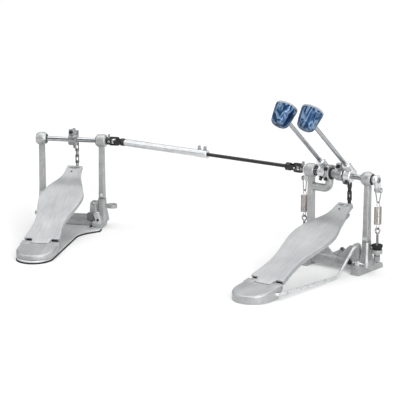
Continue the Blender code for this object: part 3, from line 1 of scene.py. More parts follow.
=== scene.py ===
"""Dressed model of a double bass drum pedal: primary pedal, slave pedal and the drive shaft between them.

Each pedal is drawn in its own frame, +X along its axle, +Y towards the drum and +Z up, with its origin on the floor
under the middle of the axle. Sizes are in metres unless a name says otherwise.
"""

import logging
from dataclasses import dataclass
from enum import Enum
from math import atan2, acos, cos, degrees, hypot, pi, radians, sin
from typing import Callable, Dict, List, Optional, Sequence, Tuple

import bpy
from mathutils import Matrix, Vector


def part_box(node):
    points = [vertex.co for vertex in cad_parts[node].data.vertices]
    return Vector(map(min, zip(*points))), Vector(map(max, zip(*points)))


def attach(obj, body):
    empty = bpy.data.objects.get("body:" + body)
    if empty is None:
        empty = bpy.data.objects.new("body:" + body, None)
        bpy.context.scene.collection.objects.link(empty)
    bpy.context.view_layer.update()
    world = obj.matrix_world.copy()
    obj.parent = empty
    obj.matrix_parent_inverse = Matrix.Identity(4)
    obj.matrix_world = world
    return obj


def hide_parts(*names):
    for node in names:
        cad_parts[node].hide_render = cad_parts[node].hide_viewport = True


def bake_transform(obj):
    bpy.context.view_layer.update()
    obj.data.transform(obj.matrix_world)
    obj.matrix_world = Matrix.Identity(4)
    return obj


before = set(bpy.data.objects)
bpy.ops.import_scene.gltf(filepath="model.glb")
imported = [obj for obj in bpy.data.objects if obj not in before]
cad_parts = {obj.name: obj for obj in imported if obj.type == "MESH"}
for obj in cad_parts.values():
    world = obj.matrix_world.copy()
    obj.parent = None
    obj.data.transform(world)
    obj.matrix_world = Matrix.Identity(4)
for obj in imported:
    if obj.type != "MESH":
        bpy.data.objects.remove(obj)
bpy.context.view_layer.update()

LOG = logging.getLogger("pedal")
Point = Tuple[float, float]
Point3 = Tuple[float, float, float]
Mesh = bpy.types.Object

# Facets round a turned piece
ROUND = 64
FINE = 48
MEDIUM = 28
SMALL = 16
# Height of both axles over the floor, and the bore of what sits on them
AXLE_HEIGHT = 0.182
AXLE_BORE = 0.0052
# Edges sharper than these are rounded, on turned and on sawn or moulded pieces
SOFT_DEG = 32.0
BREAK_DEG = 40.0
# A face looks along an axis when this much of its normal does
SQUARE_ON = 0.9
# How far a drill or cutter stands out on each side
DRILL_REACH = 0.05
THREAD_PITCH = 0.0010
# Ways that a screw head can point
TO_PLAYER: Point3 = (0.0, -1.0, 0.0)
TO_DRUM: Point3 = (0.0, 1.0, 0.0)
UPWARD: Point3 = (0.0, 0.0, 1.0)
RIGHTWARD: Point3 = (1.0, 0.0, 0.0)
# What a click selects in edit mode
EDGE_MODE = (False, True, False)
FACE_MODE = (False, False, True)


class Axis(Enum):
    """The way that a turned or extruded shape points, as the turn that takes +Z there."""

    X = Matrix.Rotation(pi / 2, 4, "Y")
    Y = Matrix.Rotation(-pi / 2, 4, "X")
    Z = Matrix.Identity(4)


class Cut(Enum):
    """What a tool does to the piece that it meets."""

    AWAY = "DIFFERENCE"
    WITH = "UNION"


class Side(Enum):
    """The player's left and right."""

    LEFT = -1
    RIGHT = 1

    @property
    def word(self) -> str:
        """Return the side's name as the nodes spell it."""
        return self.name.lower()

    def span(self, near: float, far: float) -> List[float]:
        """Return two distances from the middle as places on this side, the lower one first."""
        return sorted((self.value * near, self.value * far))


@dataclass(frozen=True)
class Stand:
    """Where one frame of the set stands: a point and a turn about the upright."""

    x: float
    y: float
    z: float
    yaw_deg: float

    def matrix(self) -> Matrix:
        """Return the matrix from this frame to the row's frame."""
        return at(self.x, self.y, self.z) @ Matrix.Rotation(radians(self.yaw_deg), 4, "Z")


PRIMARY_STAND = Stand(0.3083, 0.1499, 0.0, 0.0)
SLAVE_STAND = Stand(-0.316001, 0.088471, 0.0, 26.4)
PRIMARY_JOINT = Stand(0.2075, 0.1499, AXLE_HEIGHT, 2.4)
SLAVE_JOINT = Stand(-0.229117, 0.1316, AXLE_HEIGHT, 2.4)


# Bench tools: every new piece starts from a primitive and is shaped with operators


def clear_selection() -> None:
    """Leave edit mode and deselect everything."""
    if bpy.context.mode != "OBJECT":
        bpy.ops.object.mode_set(mode="OBJECT")
    bpy.ops.object.select_all(action="DESELECT")


def pick(piece: Mesh) -> Mesh:
    """Select one piece alone and make it active.

    Args:
        piece: The piece to work on.

    Returns:
        The same piece.
    """
    clear_selection()
    piece.select_set(True)
    bpy.context.view_layer.objects.active = piece
    return piece


def edit(piece: Mesh) -> None:
    """Open a piece for editing with everything selected.

    Args:
        piece: The piece to open.
    """
    pick(piece)
    bpy.ops.object.mode_set(mode="EDIT")
    bpy.ops.mesh.select_all(action="SELECT")


def select_only(piece: Mesh, parts: str, test: Callable[[object], bool]) -> None:
    """Open a piece for editing with only those parts selected that pass a test.

    Args:
        piece: The piece to open.
        parts: What is tested: polygons or edges.
        test: The test.
    """
    edit(piece)
    bpy.ops.mesh.select_all(action="DESELECT")
    bpy.ops.object.mode_set(mode="OBJECT")
    for part in getattr(piece.data, parts):
        part.select = test(part)
    bpy.ops.object.mode_set(mode="EDIT")


def close(piece: Mesh, tidy: float = 1e-7) -> Mesh:
    """Merge doubles, turn the faces outwards and leave edit mode.

    Args:
        piece: The piece that is open for editing.
        tidy: Merge distance in metres.

    Returns:
        The same piece.
    """
    bpy.ops.mesh.select_all(action="SELECT")
    bpy.ops.mesh.remove_doubles(threshold=tidy)
    bpy.ops.mesh.dissolve_degenerate(threshold=tidy)
    bpy.ops.mesh.select_all(action="SELECT")
    bpy.ops.mesh.normals_make_consistent(inside=False)
    bpy.ops.object.mode_set(mode="OBJECT")
    return piece


def moved(piece: Mesh, matrix: Matrix) -> Mesh:
    """Move a piece and put its place into its mesh.

    Args:
        piece: The piece to move.
        matrix: Where it goes.

    Returns:
        The same piece, at the origin and unturned.
    """
    pick(piece)
    piece.matrix_world = matrix @ piece.matrix_world
    bpy.ops.object.transform_apply(location=True, rotation=True, scale=True)
    return piece


def at(x: float = 0.0, y: float = 0.0, z: float = 0.0) -> Matrix:
    """Return the matrix of a shift along each axis."""
    return Matrix.Translation(Vector((x, y, z)))


def shifted(piece: Mesh, x: float = 0.0, y: float = 0.0, z: float = 0.0) -> Mesh:
    """Shift a piece by a distance along each axis."""
    return moved(piece, at(x, y, z))


def outline_loop(name: str, places: Sequence[Point3], filled: bool) -> Mesh:
    """Add a circle with one corner for each place and pull the corners there.

    Args:
        name: The new piece's name.
        places: The corners, in order.
        filled: Whether the loop gets a face.

    Returns:
        The flat loop.
    """
    clear_selection()
    bpy.ops.mesh.primitive_circle_add(
        vertices=len(places), radius=0.01, fill_type="NGON" if filled else "NOTHING"
    )
    piece = bpy.context.active_object
    piece.name = name
    for corner, place in zip(piece.data.vertices, places):
        corner.co = place
    return piece


def turned(name: str, profile: Sequence[Point], axis: Axis = Axis.Z, steps: int = FINE) -> Mesh:
    """Spin a closed profile of (along, radius) points round an axis.

    Args:
        name: The new piece's name.
        profile: The profile's corners; a radius of nought lies on the axis.
        axis: The way the axis points.
        steps: Facets round the turn.

    Returns:
        The turned piece.
    """
    piece = outline_loop(name, [(radius, 0.0, along) for along, radius in profile], False)
    edit(piece)
    bpy.ops.mesh.spin(steps=steps, angle=2 * pi, center=(0.0, 0.0, 0.0), axis=(0.0, 0.0, 1.0))
    close(piece)
    return moved(piece, axis.value)


def bar(name: str, start: float, end: float, radius: float, axis: Axis = Axis.Z, steps: int = FINE,
        lead: float = 0.0004) -> Mesh:
    """Turn a round bar with a small lead at each end.

    Args:
        name: The new piece's name.
        start: Where it starts along the axis.
        end: Where it ends.
        radius: Its radius.
        axis: The way it points.
        steps: Facets round the turn.
        lead: The chamfer at each end.

    Returns:
        The bar.
    """
    profile = [(start, 0.0), (start, radius - lead), (start + lead, radius)]
    profile += [(end - lead, radius), (end, radius - lead), (end, 0.0)]
    return turned(name, profile, axis, steps)


def drill(radius: float, axis: Axis = Axis.X, steps: int = FINE) -> Mesh:
    """Turn a tool that bores right through a piece."""
    return bar("drill", -DRILL_REACH, DRILL_REACH, radius, axis, steps)


def extruded(name: str, outline: Sequence[Point], start: float, end: float, axis: Axis = Axis.Z) -> Mesh:
    """Extrude a closed outline; along X it holds (y, z), along Y (x, z) and along Z (x, y) points.

    Args:
        name: The new piece's name.
        outline: The outline's corners.
        start: Where it starts along the axis.
        end: Where it ends.
        axis: The way it is drawn out.

    Returns:
        The extruded piece.
    """
    reach = end - start
    if axis is Axis.X:
        places, step = [(start, a, b) for a, b in outline], (reach, 0.0, 0.0)
    elif axis is Axis.Y:
        places, step = [(a, start, b) for a, b in outline], (0.0, reach, 0.0)
    else:
        places, step = [(a, b, start) for a, b in outline], (0.0, 0.0, reach)
    piece = outline_loop(name, places, True)
    edit(piece)
    bpy.ops.mesh.extrude_region_move(TRANSFORM_OT_translate={"value": step})
    return close(piece)


def wire(name: str, route: Sequence[Point3], radius: float, cyclic: bool = False, rounds: int = 4) -> Mesh:
    """Draw a round wire along a route.

    Args:
        name: The new piece's name.
        route: The middle of the wire.
        radius: The wire's radius.
        cyclic: Whether it closes on itself.
        rounds: Bevel resolution of the section.

    Returns:
        The wire as a mesh.
    """
    clear_selection()
    bpy.ops.curve.primitive_nurbs_path_add()
    item = bpy.context.active_object
    item.name = name
    item.data.splines.clear()
    spline = item.data.splines.new("POLY")
    spline.points.add(len(route) - 1)
    for slot, place in zip(spline.points, route):
        slot.co = (place[0], place[1], place[2], 1.0)
    spline.use_cyclic_u = cyclic
    item.data.bevel_depth = radius
    item.data.bevel_resolution = rounds
    item.data.use_fill_caps = not cyclic
    item.data.dimensions = "3D"
    bpy.ops.object.convert(target="MESH")
    piece = bpy.context.active_object
    edit(piece)
    return close(piece, 1e-6)


def with_modifier(piece: Mesh, kind: str, **settings: object) -> Mesh:
    """Add a modifier to a piece, set it and apply it.

    Args:
        piece: The piece to change.
        kind: The modifier's type.
        settings: The modifier's values.

    Returns:
        The same piece.
    """
    pick(piece)
    bpy.ops.object.modifier_add(type=kind)
    modifier = piece.modifiers[-1]
    for key, value in settings.items():
        setattr(modifier, key, value)
    bpy.ops.object.modifier_apply(modifier=modifier.name)
    return piece


def combined(piece: Mesh, cut: Cut, *tools: Mesh) -> Mesh:
    """Cut tools away from a piece, or fuse them with it, and remove them.

    Args:
        piece: The piece to change.
        cut: What the tools do.
        tools: The tools.

    Returns:
        The same piece.
    """
    for tool in tools:
        with_modifier(piece, "BOOLEAN", operation=cut.value, solver="EXACT", object=tool)
        bpy.data.objects.remove(tool, do_unlink=True)
    return piece


def eased_edges(piece: Mesh, width: float, segments: int = 2, angle_deg: float = SOFT_DEG) -> Mesh:
    """Round a piece's sharp edges and shade the rest smooth.

    Args:
        piece: The piece to finish.
        width: The width of the rounding.
        segments: Facets across the rounding.
        angle_deg: Edges sharper than this are rounded.

    Returns:
        The same piece.
    """
    if width > 0.0:
        with_modifier(
            piece, "BEVEL", width=width, segments=segments, limit_method="ANGLE", angle_limit=radians(angle_deg),
            use_clamp_overlap=True, miter_outer="MITER_ARC",
        )
    pick(piece)
    bpy.ops.object.shade_smooth_by_angle(angle=radians(angle_deg + 4.0))
    return piece


def smoothed(piece: Mesh, angle_deg: float = SOFT_DEG) -> Mesh:
    """Shade a piece smooth without rounding its edges."""
    return eased_edges(piece, 0.0, angle_deg=angle_deg)


def broken(piece: Mesh, width: float, segments: int = 2) -> Mesh:
    """Break the edges of a sawn or moulded piece."""
    return eased_edges(piece, width, segments, BREAK_DEG)


def joined(name: str, pieces: Sequence[Mesh]) -> Mesh:
    """Join pieces of one finish into one object.

    Args:
        name: The joined piece's name.
        pieces: The pieces.

    Returns:
        The joined piece.
    """
    pick(pieces[0])
    for piece in pieces[1:]:
        piece.select_set(True)
    bpy.ops.object.join()
    pieces[0].name = name
    pieces[0].data.name = name
    return pieces[0]


def copied(piece: Mesh, matrix: Matrix) -> Mesh:
    """Copy a piece with a mesh of its own and move the copy.

    Args:
        piece: The piece to copy.
        matrix: Where the copy goes.

    Returns:
        The copy.
    """
    pick(piece)
    bpy.ops.object.duplicate(linked=False)
    return moved(bpy.context.active_object, matrix)


def refined(node: str, name: str, width: float, segments: int, angle_deg: float, flat_deg: float = 1.0) -> Mesh:
    """Copy a node's solid, merge its triangles back to faces and round its edges.

    Args:
        node: The node's name.
        name: The copy's name.
        width: The width of the rounding.
        segments: Facets across the rounding.
        angle_deg: Edges sharper than this are rounded.
        flat_deg: Faces within this angle are merged.

    Returns:
        The copy.
    """
    clear_selection()
    bpy.ops.mesh.primitive_plane_add(size=0.01)
    piece = bpy.context.active_object
    piece.name = name
    piece.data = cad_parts[node].data.copy()
    piece.data.materials.clear()
    edit(piece)
    bpy.ops.mesh.remove_doubles(threshold=1e-6)
    bpy.ops.mesh.dissolve_limited(angle_limit=radians(flat_deg))
    bpy.ops.object.mode_set(mode="OBJECT")
    return eased_edges(piece, width, segments, angle_deg)


def arc(centre: Point, radius: float, start_deg: float, end_deg: float, steps: int) -> List[Point]:
    """Return the points of an arc.

    Args:
        centre: The arc's middle.
        radius: Its radius.
        start_deg: Where it starts, in degrees.
        end_deg: Where it ends.
        steps: How many pieces it has.

    Returns:
        The points, both ends included.
    """
    angles = [radians(start_deg + (end_deg - start_deg) * step / steps) for step in range(steps + 1)]
    return [(centre[0] + radius * cos(a), centre[1] + radius * sin(a)) for a in angles]


def strap(first: Point3, second: Point3, steps: int = 20) -> List[Point]:
    """Return the outline of a strap round two circles.

    Args:
        first: One circle as (a, b, radius).
        second: The other circle.
        steps: Pieces round each end.

    Returns:
        The outline's corners.
    """
    a0, b0, r0 = first
    a1, b1, r1 = second
    heading = degrees(atan2(b1 - b0, a1 - a0))
    spread = degrees(acos((r0 - r1) / hypot(a1 - a0, b1 - b0)))
    near = arc((a0, b0), r0, heading + spread, heading + 360.0 - spread, steps)
    return near + arc((a1, b1), r1, heading - spread, heading + spread, steps)


def rounded_box(width: float, depth: float, corner: float, steps: int = 5) -> List[Point]:
    """Return the outline of a rectangle with rounded corners.

    Args:
        width: Its size along the first axis.
        depth: Its size along the second axis.
        corner: The corners' radius.
        steps: Pieces round each corner.

    Returns:
        The outline's corners.
    """
    w, d = width / 2 - corner, depth / 2 - corner
    points = arc((w, d), corner, 0.0, 90.0, steps) + arc((-w, d), corner, 90.0, 180.0, steps)
    return points + arc((-w, -d), corner, 180.0, 270.0, steps) + arc((w, -d), corner, 270.0, 360.0, steps)


def smooth_route(corners: Sequence[Point3], radius: float, steps: int = 8) -> List[Point3]:
    """Return a route with each inner corner rounded.

    Args:
        corners: The route's corners.
        radius: How far from a corner its rounding starts.
        steps: Pieces round each corner.

    Returns:
        The route's points.
    """
    route = [Vector(corners[0])]
    for before, corner, after in zip(corners, corners[1:], corners[2:]):
        middle = Vector(corner)
        back = (Vector(before) - middle).normalized()
        ahead = (Vector(after) - middle).normalized()
        for step in range(steps + 1):
            share = step / steps
            route.append((middle + back * radius * (1 - share)).lerp(middle + ahead * radius * share, share))
    route.append(Vector(corners[-1]))
    return [tuple(place) for place in route]


def eased(value: float, start: float, end: float) -> float:
    """Return a smooth rise from 0 to 1 between two places."""
    share = min(max((value - start) / (end - start), 0.0), 1.0)
    return share * share * (3 - 2 * share)


# Finishes


def linear(code: str) -> Tuple[float, float, float, float]:
    """Turn an sRGB hex colour to linear values with an alpha of one.

    Args:
        code: The colour as #RRGGBB.

    Returns:
        The linear colour.
    """
    values = [int(code[place:place + 2], 16) / 255 for place in (1, 3, 5)]
    red, green, blue = [v / 12.92 if v <= 0.04045 else ((v + 0.055) / 1.055) ** 2.4 for v in values]
    return red, green, blue, 1.0


def add_node(tree: bpy.types.NodeTree, kind: str, inputs: Optional[Dict[object, object]] = None,
             **settings: object) -> bpy.types.Node:
    """Add a node, set its properties and fill or link its inputs.

    Args:
        tree: The tree that gets the node.
        kind: The node's type.
        inputs: Values, or sockets to link, by input name or number.
        settings: The node's own properties.

    Returns:
        The new node.
    """
    item = tree.nodes.new(kind)
    for key, value in settings.items():
        setattr(item, key, value)
    for key, value in (inputs or {}).items():
        if isinstance(value, bpy.types.NodeSocket):
            tree.links.new(value, item.inputs[key])
        else:
            item.inputs[key].default_value = value
    return item


def per_metre(size_mm: float) -> float:
    """Return a texture scale whose features are about a size in millimetres."""
    return 1000.0 / size_mm


@dataclass(frozen=True)
class Finish:
    """A finish: the slot that it belongs to, and how its material is made."""

    name: str
    slot: str

    def shade(self, tree: bpy.types.NodeTree, shader: bpy.types.Node) -> None:
        """Fill in the shader; each finish does this its own way."""
        raise NotImplementedError

    def material(self) -> bpy.types.Material:
        """Make the finish's material once.

        Returns:
            The material.
        """
        found = bpy.data.materials.get(self.name)
        if found is None:
            found = bpy.data.materials.new(self.name)
            found.use_nodes = True
            self.shade(found.node_tree, found.node_tree.nodes["Principled BSDF"])
        return found


@dataclass(frozen=True)
class Grained(Finish):
    """A finish of two tones and a range of gloss, which follow a grain."""

    light: str
    dark: str
    gloss: Point

    def lay(self, tree: bpy.types.NodeTree, shader: bpy.types.Node, wander: bpy.types.NodeSocket, middle: float,
            tone_half: float, gloss_half: float) -> None:
        """Let the tone and the gloss follow a value that wanders about its middle.

        Args:
            tree: The material's tree.
            shader: Its shader.
            wander: The value.
            middle: The value's middle.
            tone_half: How far from the middle the tones end.
            gloss_half: How far from the middle the gloss ends.
        """
        tone = add_node(tree, "ShaderNodeMapRange", {
            0: wander, 1: middle - tone_half, 2: middle + tone_half,
        }).outputs[0]
        colour = add_node(tree, "ShaderNodeMix", {
            0: tone, 6: linear(self.dark), 7: linear(self.light),
        }, data_type="RGBA").outputs[2]
        rough = add_node(tree, "ShaderNodeMapRange", {
            0: wander, 1: middle - gloss_half, 2: middle + gloss_half, 3: self.gloss[0], 4: self.gloss[1],
        }).outputs[0]
        tree.links.new(colour, shader.inputs["Base Color"])
        tree.links.new(rough, shader.inputs["Roughness"])

    def lift(self, tree: bpy.types.NodeTree, shader: bpy.types.Node, grain: bpy.types.NodeSocket, strength: float,
             depth: float) -> None:
        """Let the grain stand out from the surface.

        Args:
            tree: The material's tree.
            shader: Its shader.
            grain: The grain's height.
            strength: How strongly it shows.
            depth: How deep it is.
        """
        bump = add_node(tree, "ShaderNodeBump", {"Height": grain, "Strength": strength, "Distance": depth})
        tree.links.new(bump.outputs["Normal"], shader.inputs["Normal"])


@dataclass(frozen=True)
class Metal(Grained):
    """Metal whose tone and gloss wander over the surface, with a grain drawn out along one way."""

    patch_mm: float = 14.0
    grain_mm: float = 0.6
    grain_lift: float = 0.15
    stretch: Point3 = (1.0, 1.0, 1.0)
    turn_deg: float = 0.0
    metallic: float = 1.0

    def shade(self, tree: bpy.types.NodeTree, shader: bpy.types.Node) -> None:
        """Mix two tones over soft patches, and lay a fine grain over the gloss and the bump.

        Args:
            tree: The material's tree.
            shader: Its shader.
        """
        place = add_node(tree, "ShaderNodeTexCoord").outputs["Object"]
        turned_place = add_node(tree, "ShaderNodeMapping", {
            "Vector": place, "Rotation": (0.0, 0.0, radians(self.turn_deg)), "Scale": self.stretch,
        }, vector_type="TEXTURE").outputs["Vector"]
        patch = add_node(tree, "ShaderNodeTexNoise", {
            "Vector": place, "Scale": per_metre(self.patch_mm), "Detail": 3.0, "Roughness": 0.55,
        }).outputs["Fac"]
        grain = add_node(tree, "ShaderNodeTexNoise", {
            "Vector": turned_place, "Scale": per_metre(self.grain_mm), "Detail": 4.0, "Roughness": 0.6,
        }).outputs["Fac"]
        both = add_node(tree, "ShaderNodeMath", {0: patch, 1: grain}, operation="ADD").outputs[0]
        self.lay(tree, shader, both, 1.0, 0.25, 0.3)
        self.lift(tree, shader, grain, self.grain_lift, 0.0004)
        shader.inputs["Metallic"].default_value = self.metallic


@dataclass(frozen=True)
class Pearl(Finish):
    """Marbled celluloid: drawn-out swirls of navy and pale blue under a thin clear coat."""

    tones: Tuple[Tuple[float, str], ...] = (
        (0.00, "#0A2342"), (0.36, "#0A2342"), (0.44, "#1C3F64"), (0.49, "#8098B2"), (0.54, "#46668A"),
        (0.59, "#0B2748"), (0.65, "#647F9E"), (0.71, "#163A5E"), (1.00, "#0A2342"),
    )
    swirl_mm: float = 16.0
    lean_deg: float = 49.8

    def shade(self, tree: bpy.types.NodeTree, shader: bpy.types.Node) -> None:
        """Bend a noise with another one and read its height as a run of blues.

        Args:
            tree: The material's tree.
            shader: Its shader.
        """
        place = add_node(tree, "ShaderNodeTexCoord").outputs["Object"]
        drawn = add_node(tree, "ShaderNodeMapping", {
            "Vector": place, "Rotation": (radians(self.lean_deg), 0.0, 0.0), "Scale": (1.0, 3.0, 1.0),
        }, vector_type="TEXTURE").outputs["Vector"]
        swirl = add_node(tree, "ShaderNodeTexNoise", {
            "Vector": drawn, "Scale": per_metre(self.swirl_mm), "Detail": 3.0, "Roughness": 0.5, "Distortion": 1.1,
        }).outputs["Fac"]
        ramp = add_node(tree, "ShaderNodeValToRGB", {"Fac": swirl})
        stops = ramp.color_ramp.elements
        stops[0].color, stops[1].color = linear(self.tones[0][1]), linear(self.tones[-1][1])
        for position, code in self.tones[1:-1]:
            stops.new(position).color = linear(code)
        tree.links.new(ramp.outputs["Color"], shader.inputs["Base Color"])
        sheen = {"Metallic": 0.30, "Roughness": 0.42, "Specular IOR Level": 0.10, "Coat Weight": 0.04,
                 "Coat Roughness": 0.12}
        for key, value in sheen.items():
            shader.inputs[key].default_value = value


@dataclass(frozen=True)
class Matt(Grained):
    """A dull solid, such as rubber, felt or blacking, with a fine grain in tone and bump."""

    grain_mm: float = 0.5
    grain_lift: float = 0.3
    sheen: float = 0.0

    def shade(self, tree: bpy.types.NodeTree, shader: bpy.types.Node) -> None:
        """Lay one fine noise over the tone, the gloss and the bump.

        Args:
            tree: The material's tree.
            shader: Its shader.
        """
        place = add_node(tree, "ShaderNodeTexCoord").outputs["Object"]
        grain = add_node(tree, "ShaderNodeTexNoise", {
            "Vector": place, "Scale": per_metre(self.grain_mm), "Detail": 5.0, "Roughness": 0.65,
        }).outputs["Fac"]
        self.lay(tree, shader, grain, 0.5, 0.15, 0.2)
        self.lift(tree, shader, grain, self.grain_lift, 0.0005)
        shader.inputs["Sheen Weight"].default_value = self.sheen


# Cast aluminium, tumbled: even silver grey with a soft sheen and a fine skin
CAST = Metal("cast_aluminium", "satin_casting", "#BEC0C0", "#A0A2A2", (0.42, 0.54), 16.0, 2.4, 0.16, metallic=0.70)
# Aluminium sheet, brushed from heel to toe: a pale, even grey with fine streaks that spread the highlights sideways
SHEET = Metal("brushed_aluminium", "brushed_pressing", "#BFC0C1", "#A7A9AB", (0.44, 0.56), 60.0, 3.0, 0.10,
              (1.0, 24.0, 4.0), metallic=0.65)
# The same sheet, its streaks turned to run along the slave's board
SLAVE_SHEET = Metal("brushed_aluminium_turned", "brushed_pressing", "#BFC0C1", "#A7A9AB", (0.44, 0.56), 60.0, 3.0,
                    0.10, (1.0, 24.0, 4.0), 26.4, 0.65)
# The slave pedal's floor plate: the same sheet, painted paler to lift the shade that falls on the plate
PLATE = Metal("aluminium_painted_paler", "brushed_pressing", "#E2E3E4", "#CED0D2", (0.34, 0.48), 30.0, 2.4, 0.10,
              (1.0, 24.0, 4.0), 26.4, 0.55)
# Chrome plate: near mirror with faint smears
CHROME = Metal("chrome_plate", "chrome", "#B6B8BA", "#A0A2A6", (0.05, 0.13), 9.0, 1.2, 0.01)
# Zinc plate on steel: bright, a little milky
STEEL = Metal("zinc_plated_steel", "plated_steel", "#AEB0B1", "#8C8E90", (0.18, 0.30), 7.0, 0.8, 0.05)
# Satin nickel: white and soft, with no mirror in it
BRIGHT = Metal("satin_nickel", "plated_steel", "#E4E5E6", "#CCCED0", (0.30, 0.42), 9.0, 0.8, 0.04, metallic=0.75)
# Polished rod: whiter still, drawn and buffed
POLISH = Metal("polished_rod", "plated_steel", "#E2E4E6", "#D0D2D4", (0.24, 0.34), 20.0, 0.8, 0.02, metallic=0.50)
# Satin steel: machined and dull plated, a plain mid grey that spreads its highlights
SATIN = Metal("satin_steel", "plated_steel", "#B0B1B2", "#8C8E90", (0.34, 0.48), 6.0, 1.6, 0.14, metallic=0.85)
# Zinc die casting, bare: a dark, flat grey. On the slave's stop block this dark grey is also painted shade, for the
# shadow that the board casts there
ZINC_AND_SHADE = Metal("dark_zinc_and_painted_shade", "satin_casting", "#8A8C8D", "#727476", (0.40, 0.52), 10.0, 1.6, 0.14, metallic=0.60)
# Drawn spring wire: a warm grey with lengthwise tone
SPRING = Metal("spring_wire", "spring_steel", "#CBC5C1", "#A59E9A", (0.24, 0.36), 30.0, 0.8, 0.03)
# Oiled roller chain: dark steel, glossier where the oil sits
CHAIN = Metal("oiled_chain_steel", "dark_chain", "#4A4A4C", "#2C2C2E", (0.26, 0.42), 4.0, 0.6, 0.08)
# Blacking on machined steel: deep black with a low gleam
BLACK = Matt("blackened_steel", "black_oxide", "#1F1F22", "#111113", (0.30, 0.42), 0.7, 0.10)
# Moulded rubber: dull black with a dusty grain
RUBBER = Matt("moulded_rubber", "rubber", "#151515", "#0B0B0B", (0.65, 0.85), 0.6, 0.35)
# Pressed felt: pale grey, fibrous and soft at its edge
FELT = Matt("pressed_felt", "white_felt", "#B0B4B7", "#9B9FA3", (0.9, 1.0), 0.5, 0.5, 0.2)
# Marbled celluloid wrap: navy with paler swirls drawn out along the rod
PEARL = Pearl("marbled_celluloid", "pearl_blue")


def dress(piece: Mesh, finish: Finish, body: str, *nodes: str) -> Mesh:
    """Give a piece its finish, put it on its body and hide the nodes that it replaces.

    Args:
        piece: The finished piece.
        finish: Its finish.
        body: The body that it rides on.
        nodes: The nodes that it replaces.

    Returns:
        The same piece.
    """
    piece.data.materials.clear()
    piece.data.materials.append(finish.material())
    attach(piece, body)
    if nodes:
        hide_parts(*nodes)
    LOG.info("%s in %s on %s", piece.name, finish.name, body)
    return piece


# Small hardware


def socket_screw(name: str, radius: float, height: float) -> Mesh:
    """Model a button-head screw with a hexagon socket, its seat at the origin and its head towards +Z.

    Args:
        name: The piece's name.
        radius: The head's radius.
        height: The head's height.

    Returns:
        The screw head.
    """
    crown = [(height * sin(radians(a)), radius * cos(radians(a))) for a in range(0, 70, 10)]
    profile = [(-0.0006, 0.0), (-0.0006, radius)] + crown + [(height, radius * 0.3), (height, 0.0)]
    head = turned(name, profile, steps=MEDIUM)
    hexagon = arc((0.0, 0.0), radius * 0.50, 0.0, 300.0, 5)
    combined(head, Cut.AWAY, extruded("socket", hexagon, height * 0.35, height * 2))
    return smoothed(head)


def key_screw(name: str, size: float, height: float) -> Mesh:
    """Model a square-headed key screw on a round collar, its seat at the origin and its head towards +Z.

    Args:
        name: The piece's name.
        size: The square's width.
        height: The square's height over the collar.

    Returns:
        The screw.
    """
    collar = size * 0.82
    base = turned(name, [(-0.001, 0.0), (-0.001, collar), (size * 0.18, collar), (size * 0.28, collar * 0.85),
                         (size * 0.28, 0.0)], steps=MEDIUM)
    square = extruded("square", rounded_box(size, size, size * 0.12, 2), 0.0, height + size * 0.28)
    select_only(square, "polygons", lambda face: face.normal.z > SQUARE_ON)
    bpy.ops.mesh.inset(thickness=size * 0.10, depth=size * 0.08)
    close(square)
    return smoothed(joined(name, [base, square]))


def thread_profile(low: float, high: float, radius: float, pitch: float = THREAD_PITCH) -> List[Point]:
    """Return a stud's profile with a thread's crests and roots.

    Args:
        low: Where the stud starts.
        high: Where it ends.
        radius: Its outer radius.
        pitch: From crest to crest.

    Returns:
        The profile's corners.
    """
    profile = [(low, 0.0), (low, radius * 0.8)]
    for step in range(int((high - low) / pitch)):
        profile += [(low + pitch * (step + 0.3), radius), (low + pitch * (step + 0.8), radius * 0.86)]
    return profile + [(high, radius * 0.8), (high, 0.0)]


def facing(place: Point3, out: Point3) -> Matrix:
    """Return the matrix that seats a screw at a place with its head pointing out."""
    return Matrix.Translation(place) @ Vector(out).to_track_quat("Z", "Y").to_matrix().to_4x4()


def along_axle(name: str, node: str, radius: float, yaw_deg: float) -> Mesh:
    """Turn a bar that lies where a node's axle lies.

    Args:
        name: The piece's name.
        node: The axle's node.
        radius: The bar's radius.
        yaw_deg: How the axle is turned from X.

    Returns:
        The bar.
    """
    low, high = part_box(node)
    turn = radians(yaw_deg)
    length = (high[0] - low[0] - 2 * radius * abs(sin(turn))) / cos(turn)
    middle = [(a + b) / 2 for a, b in zip(low, high)]
    piece = bar(name, -length / 2, length / 2, radius, Axis.X, FINE, radius * 0.16)
    moved(piece, Matrix.Translation(middle) @ Matrix.Rotation(turn, 4, "Z"))
    return smoothed(piece)


# Sub-assemblies


